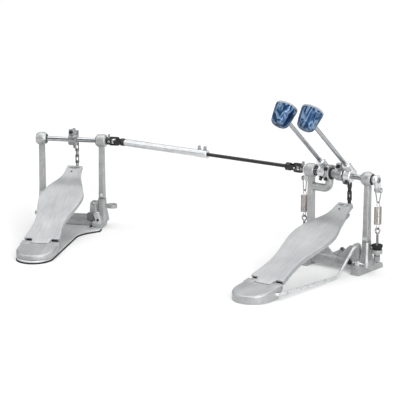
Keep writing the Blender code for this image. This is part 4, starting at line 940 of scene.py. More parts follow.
@dataclass
class FrameCasting:
    """One pedal's frame: base casting, posts, bearing housings and bearings."""

    prefix: str
    stand: Stand
    body: str
    blind_left: bool
    drum_side: Side
    post_x: float = 0.064
    seat: float = 0.0605
    width: float = 0.0135
    depth: float = 0.0150
    corner: float = 0.0032
    taper: float = 0.0012
    rib_inset: float = 0.0011
    rib_depth: float = 0.0007
    housing_radius: float = 0.0138
    housing_half: float = 0.0105
    bearing_radius: float = 0.0095
    bearing_depth: float = 0.0070
    bearing_standout: float = 0.0010
    bore: float = 0.0058
    play: float = 0.0003
    pocket_run: float = 0.01
    foot: float = 0.030
    neck_drop: float = 0.004
    bulge: float = 0.65
    drum_ease: float = 0.0042
    base_edge: float = 0.0011
    screw: Point = (0.0046, 0.0042)
    screw_z: float = 0.0680

    def build(self) -> None:
        """Make the casting, both posts and their bearings."""
        base = refined(f"{self.prefix}_base", f"{self.prefix}_base_casting", self.base_edge, 3, 36.0)
        dress(base, CAST, self.body, f"{self.prefix}_base")
        for side in Side:
            self.post(side)
            self.bearing(side)

    def post(self, side: Side) -> None:
        """Make one post with its sunk panels, its bearing housing and its foot screw.

        Args:
            side: Which post.
        """
        name = f"{self.prefix}_{side.word}_post"
        x = side.value * self.post_x
        shaft = self.upright(f"{name}_cast")
        shifted(shaft, x)
        housing = self.drum() if side is self.drum_side else self.ball()
        combined(shaft, Cut.WITH, shifted(housing, x, 0.0, AXLE_HEIGHT))
        inner = x - side.value * self.housing_half
        deep = inner + side.value * (self.bearing_depth + self.play)
        blind = self.blind_left and side is Side.LEFT
        through = x + side.value * self.housing_half * (0.5 if blind else 2.0)
        clear = inner - side.value * self.pocket_run
        pocket = bar("pocket", *sorted((clear, deep)), self.bearing_radius + self.play, Axis.X)
        passage = bar("passage", *sorted((inner, through)), self.bore, Axis.X)
        combined(shaft, Cut.AWAY, shifted(pocket, z=AXLE_HEIGHT), shifted(passage, z=AXLE_HEIGHT))
        smoothed(shaft, 30.0)
        dress(moved(shaft, self.stand.matrix()), CAST, self.body, name)
        screw = key_screw(f"{name}_screw", *self.screw)
        seat = facing((x, -self.depth / 2 - self.taper * 0.25 + self.rib_depth, self.screw_z), TO_PLAYER)
        dress(moved(screw, self.stand.matrix() @ seat), BRIGHT, self.body)

    def upright(self, name: str) -> Mesh:
        """Draw a post up from its seat and sink a panel in its front and back.

        Args:
            name: The piece's name.

        Returns:
            The post, on the frame's upright axis.
        """
        outline = rounded_box(self.width + self.taper, self.depth + self.taper, self.corner)
        piece = extruded(name, outline, self.seat + self.play, self.seat + self.foot)
        select_only(piece, "polygons", lambda face: face.normal.z > SQUARE_ON)
        shrink = (self.width / (self.width + self.taper), self.depth / (self.depth + self.taper), 1.0)
        bpy.ops.transform.resize(value=shrink, center_override=(0.0, 0.0, 0.0))
        rise = AXLE_HEIGHT - self.neck_drop - self.seat - self.foot
        bpy.ops.mesh.extrude_region_move(TRANSFORM_OT_translate={"value": (0.0, 0.0, rise)})
        shrink = ((self.width - self.taper) / self.width, (self.depth - self.taper) / self.depth, 1.0)
        bpy.ops.transform.resize(value=shrink, center_override=(0.0, 0.0, 0.0))
        close(piece)
        for face in piece.data.polygons:
            face.select = abs(face.normal.y) > 0.98 and abs(face.center.y) > self.depth * 0.4
        bpy.ops.object.mode_set(mode="EDIT")
        bpy.ops.mesh.inset(thickness=self.rib_inset, depth=-self.rib_depth)
        close(piece)
        return broken(piece, 0.0004)

    def ball(self) -> Mesh:
        """Turn the round bearing housing.

        Returns:
            The housing about its own middle.
        """
        half, radius = self.housing_half, self.housing_radius
        steps = [half * (step / 9 - 1.0) for step in range(19)]
        crown = [(along, radius * (1.0 - (self.bulge * along / half) ** 2) ** 0.5) for along in steps]
        return turned("ball", [(-half, 0.0)] + crown + [(half, 0.0)], Axis.X)

    def drum(self) -> Mesh:
        """Turn the drum-shaped bearing housing of the post beside the drive shaft.

        Returns:
            The housing about its own middle.
        """
        half, radius, ease = self.housing_half, self.housing_radius * 0.96, self.drum_ease
        near = arc((-half + ease, radius - ease), ease, 180.0, 90.0, 8)
        far = arc((half - ease, radius - ease), ease, 90.0, 0.0, 8)
        return turned("drum", [(-half, 0.0)] + near + far + [(half, 0.0)], Axis.X)

    def bearing(self, side: Side) -> None:
        """Set one bearing in its housing."""
        shown = side.value * (self.post_x - self.housing_half - self.bearing_standout)
        set_bearing(f"{self.prefix}_{side.word}_bearing", shown, side.value, self.stand, self.body)


def set_bearing(name: str, shown: float, inward: int, stand: Stand, body: str, width: float = 0.0080) -> None:
    """Turn a sealed bearing: a black seal with a shallow dish, and the bright race inside it.

    Args:
        name: The bearing's node.
        shown: Where the face that shows lies along X.
        inward: The way from that face into its seat.
        stand: The pedal's stand.
        body: The body that it rides on.
        width: The bearing's width.
    """
    far = shown + inward * width
    dish = shown + inward * 0.0008
    seal = turned(f"{name}_seal", [
        (dish, 0.0066), (dish, 0.0078), (shown, 0.0084), (shown, 0.0092), (shown + inward * 0.0003, 0.0095),
        (far, 0.0095), (far, 0.0066),
    ], Axis.X)
    lip = shown - inward * 0.0002
    race = turned(f"{name}_race", [
        (lip, 0.0054), (lip, 0.0062), (lip + inward * 0.0003, 0.0065), (far, 0.0065), (far, 0.0054),
    ], Axis.X)
    place = stand.matrix() @ at(z=AXLE_HEIGHT)
    dress(moved(smoothed(seal), place), BLACK, body, name)
    dress(moved(smoothed(race), place), STEEL, body)


@dataclass
class Footboard:
    """One pedal's footboard, toe clip and heel plate, drawn in the board's own frame from the heel hinge."""

    prefix: str
    stand: Stand
    frame_body: str
    board_body: str
    finish: Finish
    floor: float
    wing: bool
    hinge_y: float = 0.241448
    hinge_z: float = 0.0190
    pitch_deg: float = 19.7431
    length: float = 0.2838
    rise: float = 0.0070
    start: float = 0.0112
    lap: float = 0.0052
    thickness: float = 0.0030
    flange: float = 0.0080
    widths: Tuple[Point, ...] = ((0.0, 0.0365), (0.0650, 0.0300), (0.1720, 0.0458), (0.2660, 0.0160))
    smooth: float = 0.0140
    dish: float = 0.0045
    dish_at: float = 0.2050
    knuckle: float = 0.0063
    knuckle_half: float = 0.0185
    heel_depth: float = 0.0730
    heel_half: float = 0.0385
    heel_round: float = 0.0400
    heel_edge: float = 0.0145
    heel_wall: float = 0.0030
    heel_roll: float = 0.0042
    heel_hollow: float = 0.0060
    pin_radius: float = 0.0025
    pin_bore: float = 0.0028
    toe_plate: Point3 = (0.0130, 0.0052, 0.0012)
    toe_plate_back: float = 0.0072
    toe_screw: Point = (0.0014, 0.0008)
    toe_screw_x: float = 0.0088
    lock_screw: Point = (0.0021, 0.0009)
    lock_x: float = -0.0030
    lock_back: float = 0.0190
    wing_span: Point = (0.0160, 0.0212)
    wing_outline: Tuple[Point, ...] = (
        (0.2425, -0.0030), (0.2440, -0.0064), (0.2580, -0.0064), (0.2635, -0.0040), (0.2635, -0.0014),
        (0.2440, -0.0014),
    )
    # Black rubber strips under the heel edge, put there as painted shade for the hinge's slots
    shade_strip_low: float = -0.0010
    shade_strip_width: float = 0.0030
    tongue_end: Point = (0.0210, 0.0028)

    def board_matrix(self) -> Matrix:
        """Return the matrix from the board's frame to the row's frame."""
        hinge = at(0.0, -self.hinge_y, self.hinge_z)
        return self.stand.matrix() @ hinge @ Matrix.Rotation(radians(self.pitch_deg), 4, "X")

    def half_width(self, along: float) -> float:
        """Return half the board's width at a distance from the hinge, its corners rounded."""
        steps = [self.smooth * step / 2 for step in range(-2, 3)]
        return sum(self.plan(along + step) for step in steps) / len(steps)

    def plan(self, along: float) -> float:
        """Return half the board's width before its corners are rounded.

        Args:
            along: The distance from the hinge.

        Returns:
            Half the width.
        """
        half = self.widths[0][1]
        for (start, before), (end, after) in zip(self.widths, self.widths[1:]):
            share = eased(along, start, end)
            if end == self.widths[-1][0]:
                share = 0.3 * share + 0.7 * min(max((along - start) / (end - start), 0.0), 1.0)
            half += (after - before) * share
        return half

    def top(self, along: float) -> float:
        """Return the height of the board's upper face."""
        share = min(max((along - self.dish_at) / (self.length - self.dish_at), 0.0), 1.0)
        return self.rise - self.dish * sin(pi * share) ** 2

    def build(self) -> None:
        """Make the board, its clip and the heel plate."""
        board = joined(f"{self.prefix}_footboard_pressing", [self.pressing(), self.tongue()])
        dress(moved(board, self.board_matrix()), self.finish, self.board_body, f"{self.prefix}_footboard")
        self.toe_fittings()
        self.shade_strips()
        clip = refined(f"{self.prefix}_toe_clip", f"{self.prefix}_toe_clip_bracket", 0.0004, 2, 34.0)
        dress(clip, CAST, self.board_body, f"{self.prefix}_toe_clip")
        dress(moved(self.heel(), self.stand.matrix()), self.finish, self.frame_body, f"{self.prefix}_heel_plate")
        node = f"{self.prefix}_heel_pin"
        pin = along_axle(f"{self.prefix}_heel_hinge_pin", node, self.pin_radius, self.stand.yaw_deg)
        dress(pin, STEEL, self.frame_body, node)

    def pressing(self) -> Mesh:
        """Press the board out of a grid: waisted plan, dished toe and flanges down both sides.

        Returns:
            The pressing in the board's frame.
        """
        clear_selection()
        bpy.ops.mesh.primitive_grid_add(x_subdivisions=14, y_subdivisions=72, size=1.0)
        piece = bpy.context.active_object
        rims = {corner.index for corner in piece.data.vertices if abs(corner.co.x) > 0.499}
        for corner in piece.data.vertices:
            along = self.start + (corner.co.y + 0.5) * (self.length - self.start)
            across = 2 * corner.co.x * self.half_width(along)
            if corner.co.y < -0.499 and abs(across) < self.knuckle_half:
                along = -self.lap
            corner.co = (across, along, self.top(along))
        bpy.context.tool_settings.mesh_select_mode = EDGE_MODE
        select_only(piece, "edges", lambda edge: edge.vertices[0] in rims and edge.vertices[1] in rims)
        bpy.ops.mesh.extrude_edges_move(TRANSFORM_OT_translate={"value": (0.0, 0.0, -self.flange)})
        bpy.ops.mesh.select_all(action="SELECT")
        bpy.ops.mesh.normals_make_consistent(inside=False)
        bpy.ops.object.mode_set(mode="OBJECT")
        bpy.context.tool_settings.mesh_select_mode = FACE_MODE
        if sum(face.normal.z * face.area for face in piece.data.polygons) < 0.0:
            edit(piece)
            bpy.ops.mesh.flip_normals()
            bpy.ops.object.mode_set(mode="OBJECT")
        with_modifier(piece, "SOLIDIFY", thickness=self.thickness, offset=-1.0, use_even_offset=True)
        broken(piece, 0.0011, 3)
        return piece

    def toe_fittings(self) -> None:
        """Set the clip's bright top plate in the toe, its screws, the lock screw and, where it has one, its wing."""
        along = self.length - self.toe_plate_back
        seat = self.board_matrix() @ at(0.0, along, self.top(along) + 0.0001)
        plate = extruded(f"{self.prefix}_toe_plate", rounded_box(*self.toe_plate), -0.0008, 0.0006)
        dress(moved(broken(plate, 0.0002), seat), STEEL, self.board_body)
        for side in Side:
            screw = socket_screw(f"{self.prefix}_{side.word}_toe_screw", *self.toe_screw)
            aside = at(side.value * self.toe_screw_x)
            dress(moved(screw, seat @ aside), BLACK, self.board_body)
        along = self.length - self.lock_back
        lock = socket_screw(f"{self.prefix}_toe_lock_screw", *self.lock_screw)
        seat = at(self.lock_x, along, self.top(along))
        dress(moved(lock, self.board_matrix() @ seat), BLACK, self.board_body)
        if self.wing:
            wing = extruded(f"{self.prefix}_clip_wing", self.wing_outline, *self.wing_span, Axis.X)
            dress(moved(broken(wing, 0.0006), self.board_matrix()), SATIN, self.board_body)

    def shade_strips(self) -> None:
        """Set a black rubber strip under each corner of the board's heel edge, where it meets the ears of the hinge, as
        painted shade that darkens the hinge's slots.
        """
        low, high, deep = self.shade_strip_low, self.rise - self.thickness - 0.0001, self.start + 0.0012
        outline = [(deep, low), (deep + self.shade_strip_width, low), (deep + 0.0034, high), (deep - 0.0004, high)]
        for side in Side:
            ends = side.span(self.knuckle_half + 0.0010, self.widths[0][1] - 0.0031)
            strip = extruded(f"{self.prefix}_{side.word}_heel_shade_strip", outline, *ends, Axis.X)
            dress(moved(broken(strip, 0.0005), self.board_matrix()), RUBBER, self.board_body)

    def tongue(self) -> Mesh:
        """Model the knuckle that turns on the heel pin, with the tongue that holds it to the board.

        Returns:
            The tongue in the board's frame.
        """
        outline = strap((0.0, 0.0, self.knuckle), (self.tongue_end[0], self.rise - 0.0029, self.tongue_end[1]))
        piece = extruded("tongue", outline, -self.knuckle_half, self.knuckle_half, Axis.X)
        combined(piece, Cut.AWAY, drill(self.pin_bore))
        return broken(piece, 0.0005)

    def heel(self) -> Mesh:
        """Model the heel plate: a D with a rolled edge, hollow below, and the two ears of its hinge.

        Returns:
            The heel plate in the pedal's frame.
        """
        front = self.hinge_y + self.knuckle + 0.002
        back = self.hinge_y + self.heel_depth - self.heel_round
        outline = [(self.heel_half, -front)]
        outline += [(self.heel_half * cos(a), -back - self.heel_round * sin(a))
                    for a in (pi * step / 40 for step in range(41))]
        outline.append((-self.heel_half, -front))
        piece = extruded(f"{self.prefix}_heel_casting", outline, self.floor, 0.040)
        high = self.hinge_z + self.knuckle - 0.001
        for corner in piece.data.vertices:
            if corner.co.z > 0.030:
                share = (-corner.co.y - self.hinge_y) / self.heel_depth
                corner.co.z = high + (self.heel_edge - high) * share
        self.sink(piece, self.heel_wall, -self.heel_hollow)
        self.round_over(piece)
        pieces = [piece]
        slope = (self.heel_edge - high) / self.heel_depth
        nose = -self.hinge_y + 0.0048
        for side in Side:
            ends = side.span(self.knuckle_half + 0.0005, self.heel_half - 0.0002)
            outline = [
                (-front - 0.004, self.floor + 0.0010), (-front - 0.004, high + slope * (front + 0.004 - self.hinge_y)),
                (nose - 0.0012, high + 0.0005), (nose, high - 0.0008), (nose, self.hinge_z),
                (nose - 0.0012, self.hinge_z - 0.0040), (-self.hinge_y, self.hinge_z - 0.0068),
                (-front, self.floor + 0.0030),
            ]
            ear = extruded("ear", outline, *ends, Axis.X)
            bore = shifted(drill(self.pin_bore), y=-self.hinge_y, z=self.hinge_z)
            pieces.append(broken(combined(ear, Cut.AWAY, bore), 0.0005))
        return joined(f"{self.prefix}_heel_casting", pieces)

    def round_over(self, piece: Mesh) -> None:
        """Round the heel's upper edge over widely and break its other edges.

        Args:
            piece: The heel's casting.
        """
        back = -self.hinge_y - self.knuckle - 0.0021

        def upper_rim(edge: bpy.types.MeshEdge) -> bool:
            """Tell whether an edge belongs to the rim of the heel's upper face.

            Args:
                edge: The edge.

            Returns:
                Whether it does.
            """
            ends = [piece.data.vertices[index].co for index in edge.vertices]
            rim = all(abs(end.x) > self.heel_half * 0.999 or end.y < -self.hinge_y - 0.030 for end in ends)
            level = all(end.z > self.heel_edge - 0.0005 for end in ends)
            return level and rim and any(end.y < back for end in ends)

        bpy.context.tool_settings.mesh_select_mode = EDGE_MODE
        select_only(piece, "edges", upper_rim)
        bpy.ops.mesh.bevel(offset=self.heel_roll, segments=6, affect="EDGES")
        bpy.ops.object.mode_set(mode="OBJECT")
        bpy.context.tool_settings.mesh_select_mode = FACE_MODE
        broken(piece, 0.0006)
        with_modifier(piece, "WEIGHTED_NORMAL", weight=100, keep_sharp=True)

    def sink(self, piece: Mesh, inset: float, depth: float) -> None:
        """Inset a plate's lower face and move it.

        Args:
            piece: The plate.
            inset: How far in from the edge.
            depth: How far out; below nought it goes into the plate.
        """
        for face in piece.data.polygons:
            face.select = face.normal.z < -SQUARE_ON
        pick(piece)
        bpy.ops.object.mode_set(mode="EDIT")
        bpy.ops.mesh.inset(thickness=inset, depth=depth)
        close(piece)


@dataclass
class ChainDrive:
    """One pedal's axle, cam and roller chain."""

    prefix: str
    stand: Stand
    axle_node: str
    axle_body: str
    chain_body: str
    axle_finish: Finish
    chain_finish: Finish
    offset: float = 0.0030
    axle_radius: float = 0.0050
    hub_radius: float = 0.0120
    hub_length: float = 0.0160
    cam_radius: float = 0.0240
    cam_width: float = 0.0048
    lug_height: float = 0.0220
    lug_width: float = 0.0110
    chain_y: float = 0.0315
    top_deg: float = 17.6
    pitch: float = 0.0127
    links: int = 6
    plate: float = 0.0011
    plate_radius: float = 0.0036
    pin_radius: float = 0.0018
    roller_radius: float = 0.0027
    roller_half: float = 0.0010
    outer_gap: float = 0.0023
    inner_gap: float = 0.0011
    waist: float = 0.88
    rim_span: Point = (-62.0, 75.0)
    hub_lead: float = 0.0010
    lug_low: float = 0.004
    screw: Point = (0.0048, 0.0052)
    screw_z: float = 0.0165

    def build(self) -> None:
        """Make the axle, the cam and the chain."""
        axle = along_axle(f"{self.axle_node}_bar", self.axle_node, self.axle_radius, self.stand.yaw_deg)
        dress(axle, self.axle_finish, self.axle_body, self.axle_node)
        place = self.stand.matrix() @ at(self.offset, 0.0, AXLE_HEIGHT)
        dress(moved(self.cam(), place), SATIN, self.axle_body, f"{self.prefix}_cam")
        screw = key_screw(f"{self.prefix}_cam_screw", *self.screw)
        seat = facing((-self.hub_length / 2 + self.lug_width / 2, -self.lug_width / 2, self.screw_z), TO_PLAYER)
        dress(moved(screw, place @ seat), BLACK, self.axle_body)
        plates, rollers = self.chain()
        dress(moved(plates, self.stand.matrix()), self.chain_finish, self.chain_body, f"{self.prefix}_chain")
        dress(moved(rollers, self.stand.matrix()), STEEL, self.chain_body)

    def nose(self) -> Point:
        """Return where the chain hangs from the cam, from the axle's middle."""
        return self.chain_y, self.chain_y * sin(radians(self.top_deg)) / cos(radians(self.top_deg))

    def cam(self) -> Mesh:
        """Model the cam: hub, clamp lug, grooved rim and the nose that the chain hangs from.

        Returns:
            The cam about the axle's middle.
        """
        half = self.hub_length / 2
        hub = bar("hub", -half, half, self.hub_radius, Axis.X, lead=self.hub_lead)
        wide = self.cam_width / 2
        rim = [(0.0, 0.0)] + arc((0.0, 0.0), self.cam_radius, *self.rim_span, 30)
        rim_plate = broken(extruded("rim", rim, -wide, wide, Axis.X), 0.0006)
        nose = strap((0.0, 0.0, self.hub_radius * 0.7), (*self.nose(), self.plate_radius))
        nose_plate = broken(extruded("nose", nose, -wide + 0.0002, wide - 0.0002, Axis.X), 0.0005)
        lug = rounded_box(self.lug_width, self.lug_height * 2, 0.0030)
        lug_block = extruded("lug", lug, -half, -half + self.lug_width, Axis.X)
        combined(lug_block, Cut.AWAY, drill(self.axle_radius))
        edit(lug_block)
        bpy.ops.mesh.bisect(plane_co=(0.0, 0.0, self.lug_low), plane_no=UPWARD, use_fill=True, clear_inner=True)
        close(lug_block)
        broken(lug_block, 0.0005)
        return joined(f"{self.prefix}_cam_turned", [smoothed(hub), rim_plate, nose_plate, lug_block])

    def chain(self) -> Tuple[Mesh, Mesh]:
        """Model one link plate, roller and pin, and copy them down the chain.

        Returns:
            The plates with their pins, and the rollers with the connecting link at the top, in the pedal's frame.
        """
        a, b = self.nose()
        top = AXLE_HEIGHT + b
        outer, inner = self.link_plate(self.outer_gap), self.link_plate(self.inner_gap)
        wide = self.roller_half
        roller = smoothed(bar("roller", -wide, wide, self.roller_radius, Axis.X, MEDIUM, 0.0003))
        head = [(-0.0038, 0.0), (-0.0038, self.pin_radius * 0.55), (-0.0034, self.pin_radius)]
        head += [(-along, radius) for along, radius in reversed(head)]
        pin = smoothed(turned("pin", head, Axis.X, SMALL))
        dark, bright = [], []
        for index in range(self.links):
            low = at(z=-self.pitch * (index + 1))
            (bright if index == 0 else dark).append(copied(outer if index % 2 == 0 else inner, low))
        for index in range(self.links + 1):
            place = at(z=-self.pitch * index)
            (bright if index < 2 else dark).append(copied(pin, place))
            if 0 < index < self.links:
                bright.append(copied(roller, place))
        for model in (outer, inner, roller, pin):
            bpy.data.objects.remove(model, do_unlink=True)
        plates = joined(f"{self.prefix}_chain_plates", dark)
        rollers = joined(f"{self.prefix}_chain_rollers", bright)
        return shifted(plates, self.offset, a, top), shifted(rollers, self.offset, a, top)

    def link_plate(self, inside: float) -> Mesh:
        """Model a pair of waisted link plates from one pin at the origin to the next above it.

        Args:
            inside: The gap from the chain's middle to the plates.

        Returns:
            Both plates as one piece.
        """
        r, p = self.plate_radius, self.pitch
        lower = arc((0.0, 0.0), r, -200.0, 20.0, 14)
        upper = arc((0.0, p), r, -20.0, 200.0, 14)
        waist = r * self.waist
        outline = lower + [(waist, p * 0.42), (waist, p * 0.58)] + upper + [(-waist, p * 0.58), (-waist, p * 0.42)]
        right = broken(extruded("plate", outline, inside, inside + self.plate, Axis.X), 0.0002, 1)
        left = copied(right, at(-2 * inside - self.plate))
        return joined("plates", [right, left])


@dataclass
class ReturnSpring:
    """One return spring: rocker, stirrup, spring, eye bolt, rubber seat, fluted nut and, right, a bearing cover."""

    side: Side
    axle_body: str
    offset: float = 0.0838
    y: float = 0.0060
    stud_z: float = 0.1620
    stud_radius: float = 0.0026
    stud_length: float = 0.0150
    rocker_x: float = 0.0753
    rocker_thickness: float = 0.0030
    rocker_hub: float = 0.0100
    rocker_tip: float = 0.0055
    boss_end: float = 0.0880
    neck: float = 0.0068
    arm_width: float = 0.0050
    stirrup_wire: float = 0.0011
    stirrup_spread: float = 0.0039
    stirrup_bend: float = 0.0028
    stirrup_low: float = 0.1373
    coil_wire: float = 0.00078
    coil_radius: float = 0.0065
    curls: int = 17
    bottom: float = 0.0956
    top: float = 0.1292
    hook_radius: float = 0.0042
    hook_neck: float = 0.0020
    eye_centre: float = 0.0832
    eye_radius: float = 0.0048
    eye_wire: float = 0.0016
    shank_radius: float = 0.0026
    shank_low: float = 0.0215
    lug_top: float = 0.04675
    lug_low: float = 0.03925
    blind_end: float = 0.0853
    tip_screw: Point = (0.0058, 0.0026)
    cover: Tuple[Point, ...] = (
        (0.0742, 0.0056), (0.0742, 0.0104), (0.0746, 0.0106), (0.0750, 0.0101), (0.0750, 0.0056),
    )
    flutes: int = 12
    nut_radius: float = 0.0062
    flute_depth: float = 0.0006
    nut_height: float = 0.0150
    collar_height: float = 0.0025

    def build(self) -> None:
        """Make every piece of the spring's line, from the rocker down to the nut."""
        word, place = self.side.word, PRIMARY_STAND.matrix()
        x = self.side.value * self.offset
        column = place @ at(x, self.y, 0.0)
        dress(moved(self.rocker(), place), BRIGHT, self.axle_body, f"{word}_rocker")
        tip = facing((self.boss_end, 0.0, AXLE_HEIGHT), RIGHTWARD)
        if self.side is Side.RIGHT:
            screw = socket_screw(f"{word}_rocker_screw", *self.tip_screw)
            dress(moved(screw, place @ tip), ZINC_AND_SHADE, self.axle_body)
            cover = turned(f"{word}_bearing_cover", self.cover, Axis.X)
            dress(moved(smoothed(shifted(cover, z=AXLE_HEIGHT)), place), BLACK, "primary_frame")
        dress(moved(self.stirrup(), column), STEEL, f"{word}_stirrup", f"{word}_stirrup")
        self.spring(column)
        dress(moved(self.eye_bolt(), column), CHROME, "primary_frame", f"{word}_eye_bolt")
        dress(moved(self.seat(), column), RUBBER, "primary_frame", f"{word}_grommet")
        dress(moved(self.nut(), column), STEEL, "primary_frame", f"{word}_tension_nut")

    def rocker(self) -> Mesh:
        """Model the rocker with its stud and the stud's button end.

        Returns:
            The rocker in the pedal's frame.
        """
        s = self.side.value
        right = self.side is Side.RIGHT
        outline = strap((0.0, AXLE_HEIGHT, self.rocker_hub), (self.y, self.stud_z, self.rocker_tip))
        start, far = self.rocker_x, self.offset + self.stud_length / 2
        ends = self.side.span(self.rocker_x, self.rocker_x + self.rocker_thickness)
        if right:
            ends = [self.offset - self.arm_width / 2, self.offset + self.arm_width / 2]
            start = self.offset - self.stud_length / 2
        pieces = [extruded("rocker", outline, *ends, Axis.X)]
        deep = self.blind_end if right else 0.2
        bore = shifted(bar("bore", -0.2, deep, AXLE_BORE, Axis.X), z=AXLE_HEIGHT)
        broken(combined(pieces[0], Cut.AWAY, bore), 0.0005)
        if right:
            x, r, lead = self.rocker_x, self.rocker_hub - 0.0003, 0.0012
            boss = turned("boss", [
                (x, AXLE_BORE), (x, self.neck), (x + 0.0036, self.neck), (x + 0.0040, r - 0.0006), (x + 0.0046, r),
                (self.boss_end - lead, r), (self.boss_end, r - lead), (self.boss_end, 0.0),
                (self.blind_end, 0.0), (self.blind_end, AXLE_BORE),
            ], Axis.X)
            pieces.append(smoothed(shifted(boss, z=AXLE_HEIGHT)))
        near = s * (start + 0.0005)
        profile = [(near, 0.0), (near, self.stud_radius)]
        profile += [(s * (far - 0.0004), self.stud_radius), (s * far, self.stud_radius - 0.0005), (s * far, 0.0)]
        stud = smoothed(turned("stud", profile, Axis.X, MEDIUM))
        pieces.append(shifted(stud, 0.0, self.y, self.stud_z))
        return joined(f"{self.side.word}_rocker_lever", pieces)

    def stirrup(self) -> Mesh:
        """Bend the stirrup's wire and the two eyes that hang on the stud.

        Returns:
            The stirrup about the spring's upright line.
        """
        eye = self.stud_radius + 0.0003 + self.stirrup_wire
        shoulder = self.stud_z - eye
        bend = arc((0.0, self.stirrup_low + self.stirrup_bend), self.stirrup_bend, 180.0, 360.0, 14)
        route = [(-self.stirrup_spread, 0.0, shoulder)] + [(a, 0.0, b) for a, b in bend]
        route.append((self.stirrup_spread, 0.0, shoulder))
        pieces = [wire("stirrup", route, self.stirrup_wire)]
        for side in Side:
            ring = arc((0.0, self.stud_z), eye, 0.0, 345.0, 23)
            path = [(side.value * self.stirrup_spread, a, b) for a, b in ring]
            pieces.append(wire("eye", path, self.stirrup_wire, cyclic=True))
        return smoothed(joined(f"{self.side.word}_stirrup_wire", pieces), 60.0)

    def hook(self, level: float, way: int) -> List[Point3]:
        """Return an end hook's route from the last curl.

        Args:
            level: The last curl's height.
            way: Up or down.

        Returns:
            The route's points.
        """
        centre = level + way * (self.hook_neck + self.hook_radius)
        ring = arc((0.0, 0.0), self.hook_radius, -10.0, 240.0, 20)
        return [(0.0, a, centre + way * b) for a, b in ring]

    def spring(self, column: Matrix) -> None:
        """Wind the spring with its top hook at the stirrup and its foot hook at the eye bolt.

        Args:
            column: The matrix of the spring's upright line.
        """
        word, per_curl = self.side.word, 20
        count = self.curls * per_curl
        route = list(reversed(self.hook(self.bottom, -1)))
        for step in range(count + 1):
            angle = pi / 2 + 2 * pi * step / per_curl
            z = self.bottom + (self.top - self.bottom) * step / count
            route.append((self.coil_radius * cos(angle), self.coil_radius * sin(angle), z))
        route += self.hook(self.top, 1)
        piece = moved(wire(f"{word}_spring_coil", route, self.coil_wire, rounds=2), column)
        smoothed(piece, 60.0)
        piece.data.materials.clear()
        piece.data.materials.append(SPRING.material())
        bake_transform(piece)
        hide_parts(f"{word}_spring")
        LOG.info("%s in %s from %s_stirrup to %s_spring", piece.name, SPRING.name, word, word)

    def eye_bolt(self) -> Mesh:
        """Bend the eye and turn its threaded shank.

        Returns:
            The eye bolt about the spring's upright line.
        """
        ring = arc((0.0, self.eye_centre), self.eye_radius, 0.0, 348.0, 29)
        eye = wire("eye", [(a, 0.0, b) for a, b in ring], self.eye_wire, cyclic=True)
        thread = thread_profile(self.shank_low, self.eye_centre - self.eye_radius, self.shank_radius)
        shank = turned("shank", thread, steps=MEDIUM)
        return smoothed(joined(f"{self.side.word}_eye_bolt_turned", [eye, shank]), 50.0)

    def seat(self) -> Mesh:
        """Turn the rubber seat that cups the lug's upper side.

        Returns:
            The seat about the spring's upright line.
        """
        low = self.lug_top + 0.0003
        profile = [(low, 0.0029), (low, 0.0081), (low + 0.0006, 0.0086), (low + 0.0058, 0.0106), (low + 0.0072, 0.0110)]
        profile += [(low + 0.0088, 0.0108), (low + 0.0095, 0.0101), (low + 0.0095, 0.0074), (low + 0.0076, 0.0029)]
        return smoothed(turned(f"{self.side.word}_rubber_seat", profile))

    def nut(self) -> Mesh:
        """Model the fluted nut with its plain collar.

        Returns:
            The nut about the spring's upright line.
        """
        high, steps = self.lug_low - 0.0003, self.flutes * 6
        outline = []
        for step in range(steps):
            angle = 2 * pi * step / steps
            radius = self.nut_radius - self.flute_depth * (0.5 - 0.5 * cos(angle * self.flutes)) ** 2
            outline.append((radius * cos(angle), radius * sin(angle)))
        body = extruded("nut", outline, high - self.nut_height, high - self.collar_height)
        eased_edges(body, 0.0004, 2, 50.0)
        collar = turned("collar", [(high - 0.0026, 0.0029), (high - 0.0026, 0.0058), (high - 0.0003, 0.0060),
                                   (high, 0.0057), (high, 0.0029)])
        return joined(f"{self.side.word}_fluted_nut", [body, smoothed(collar)])


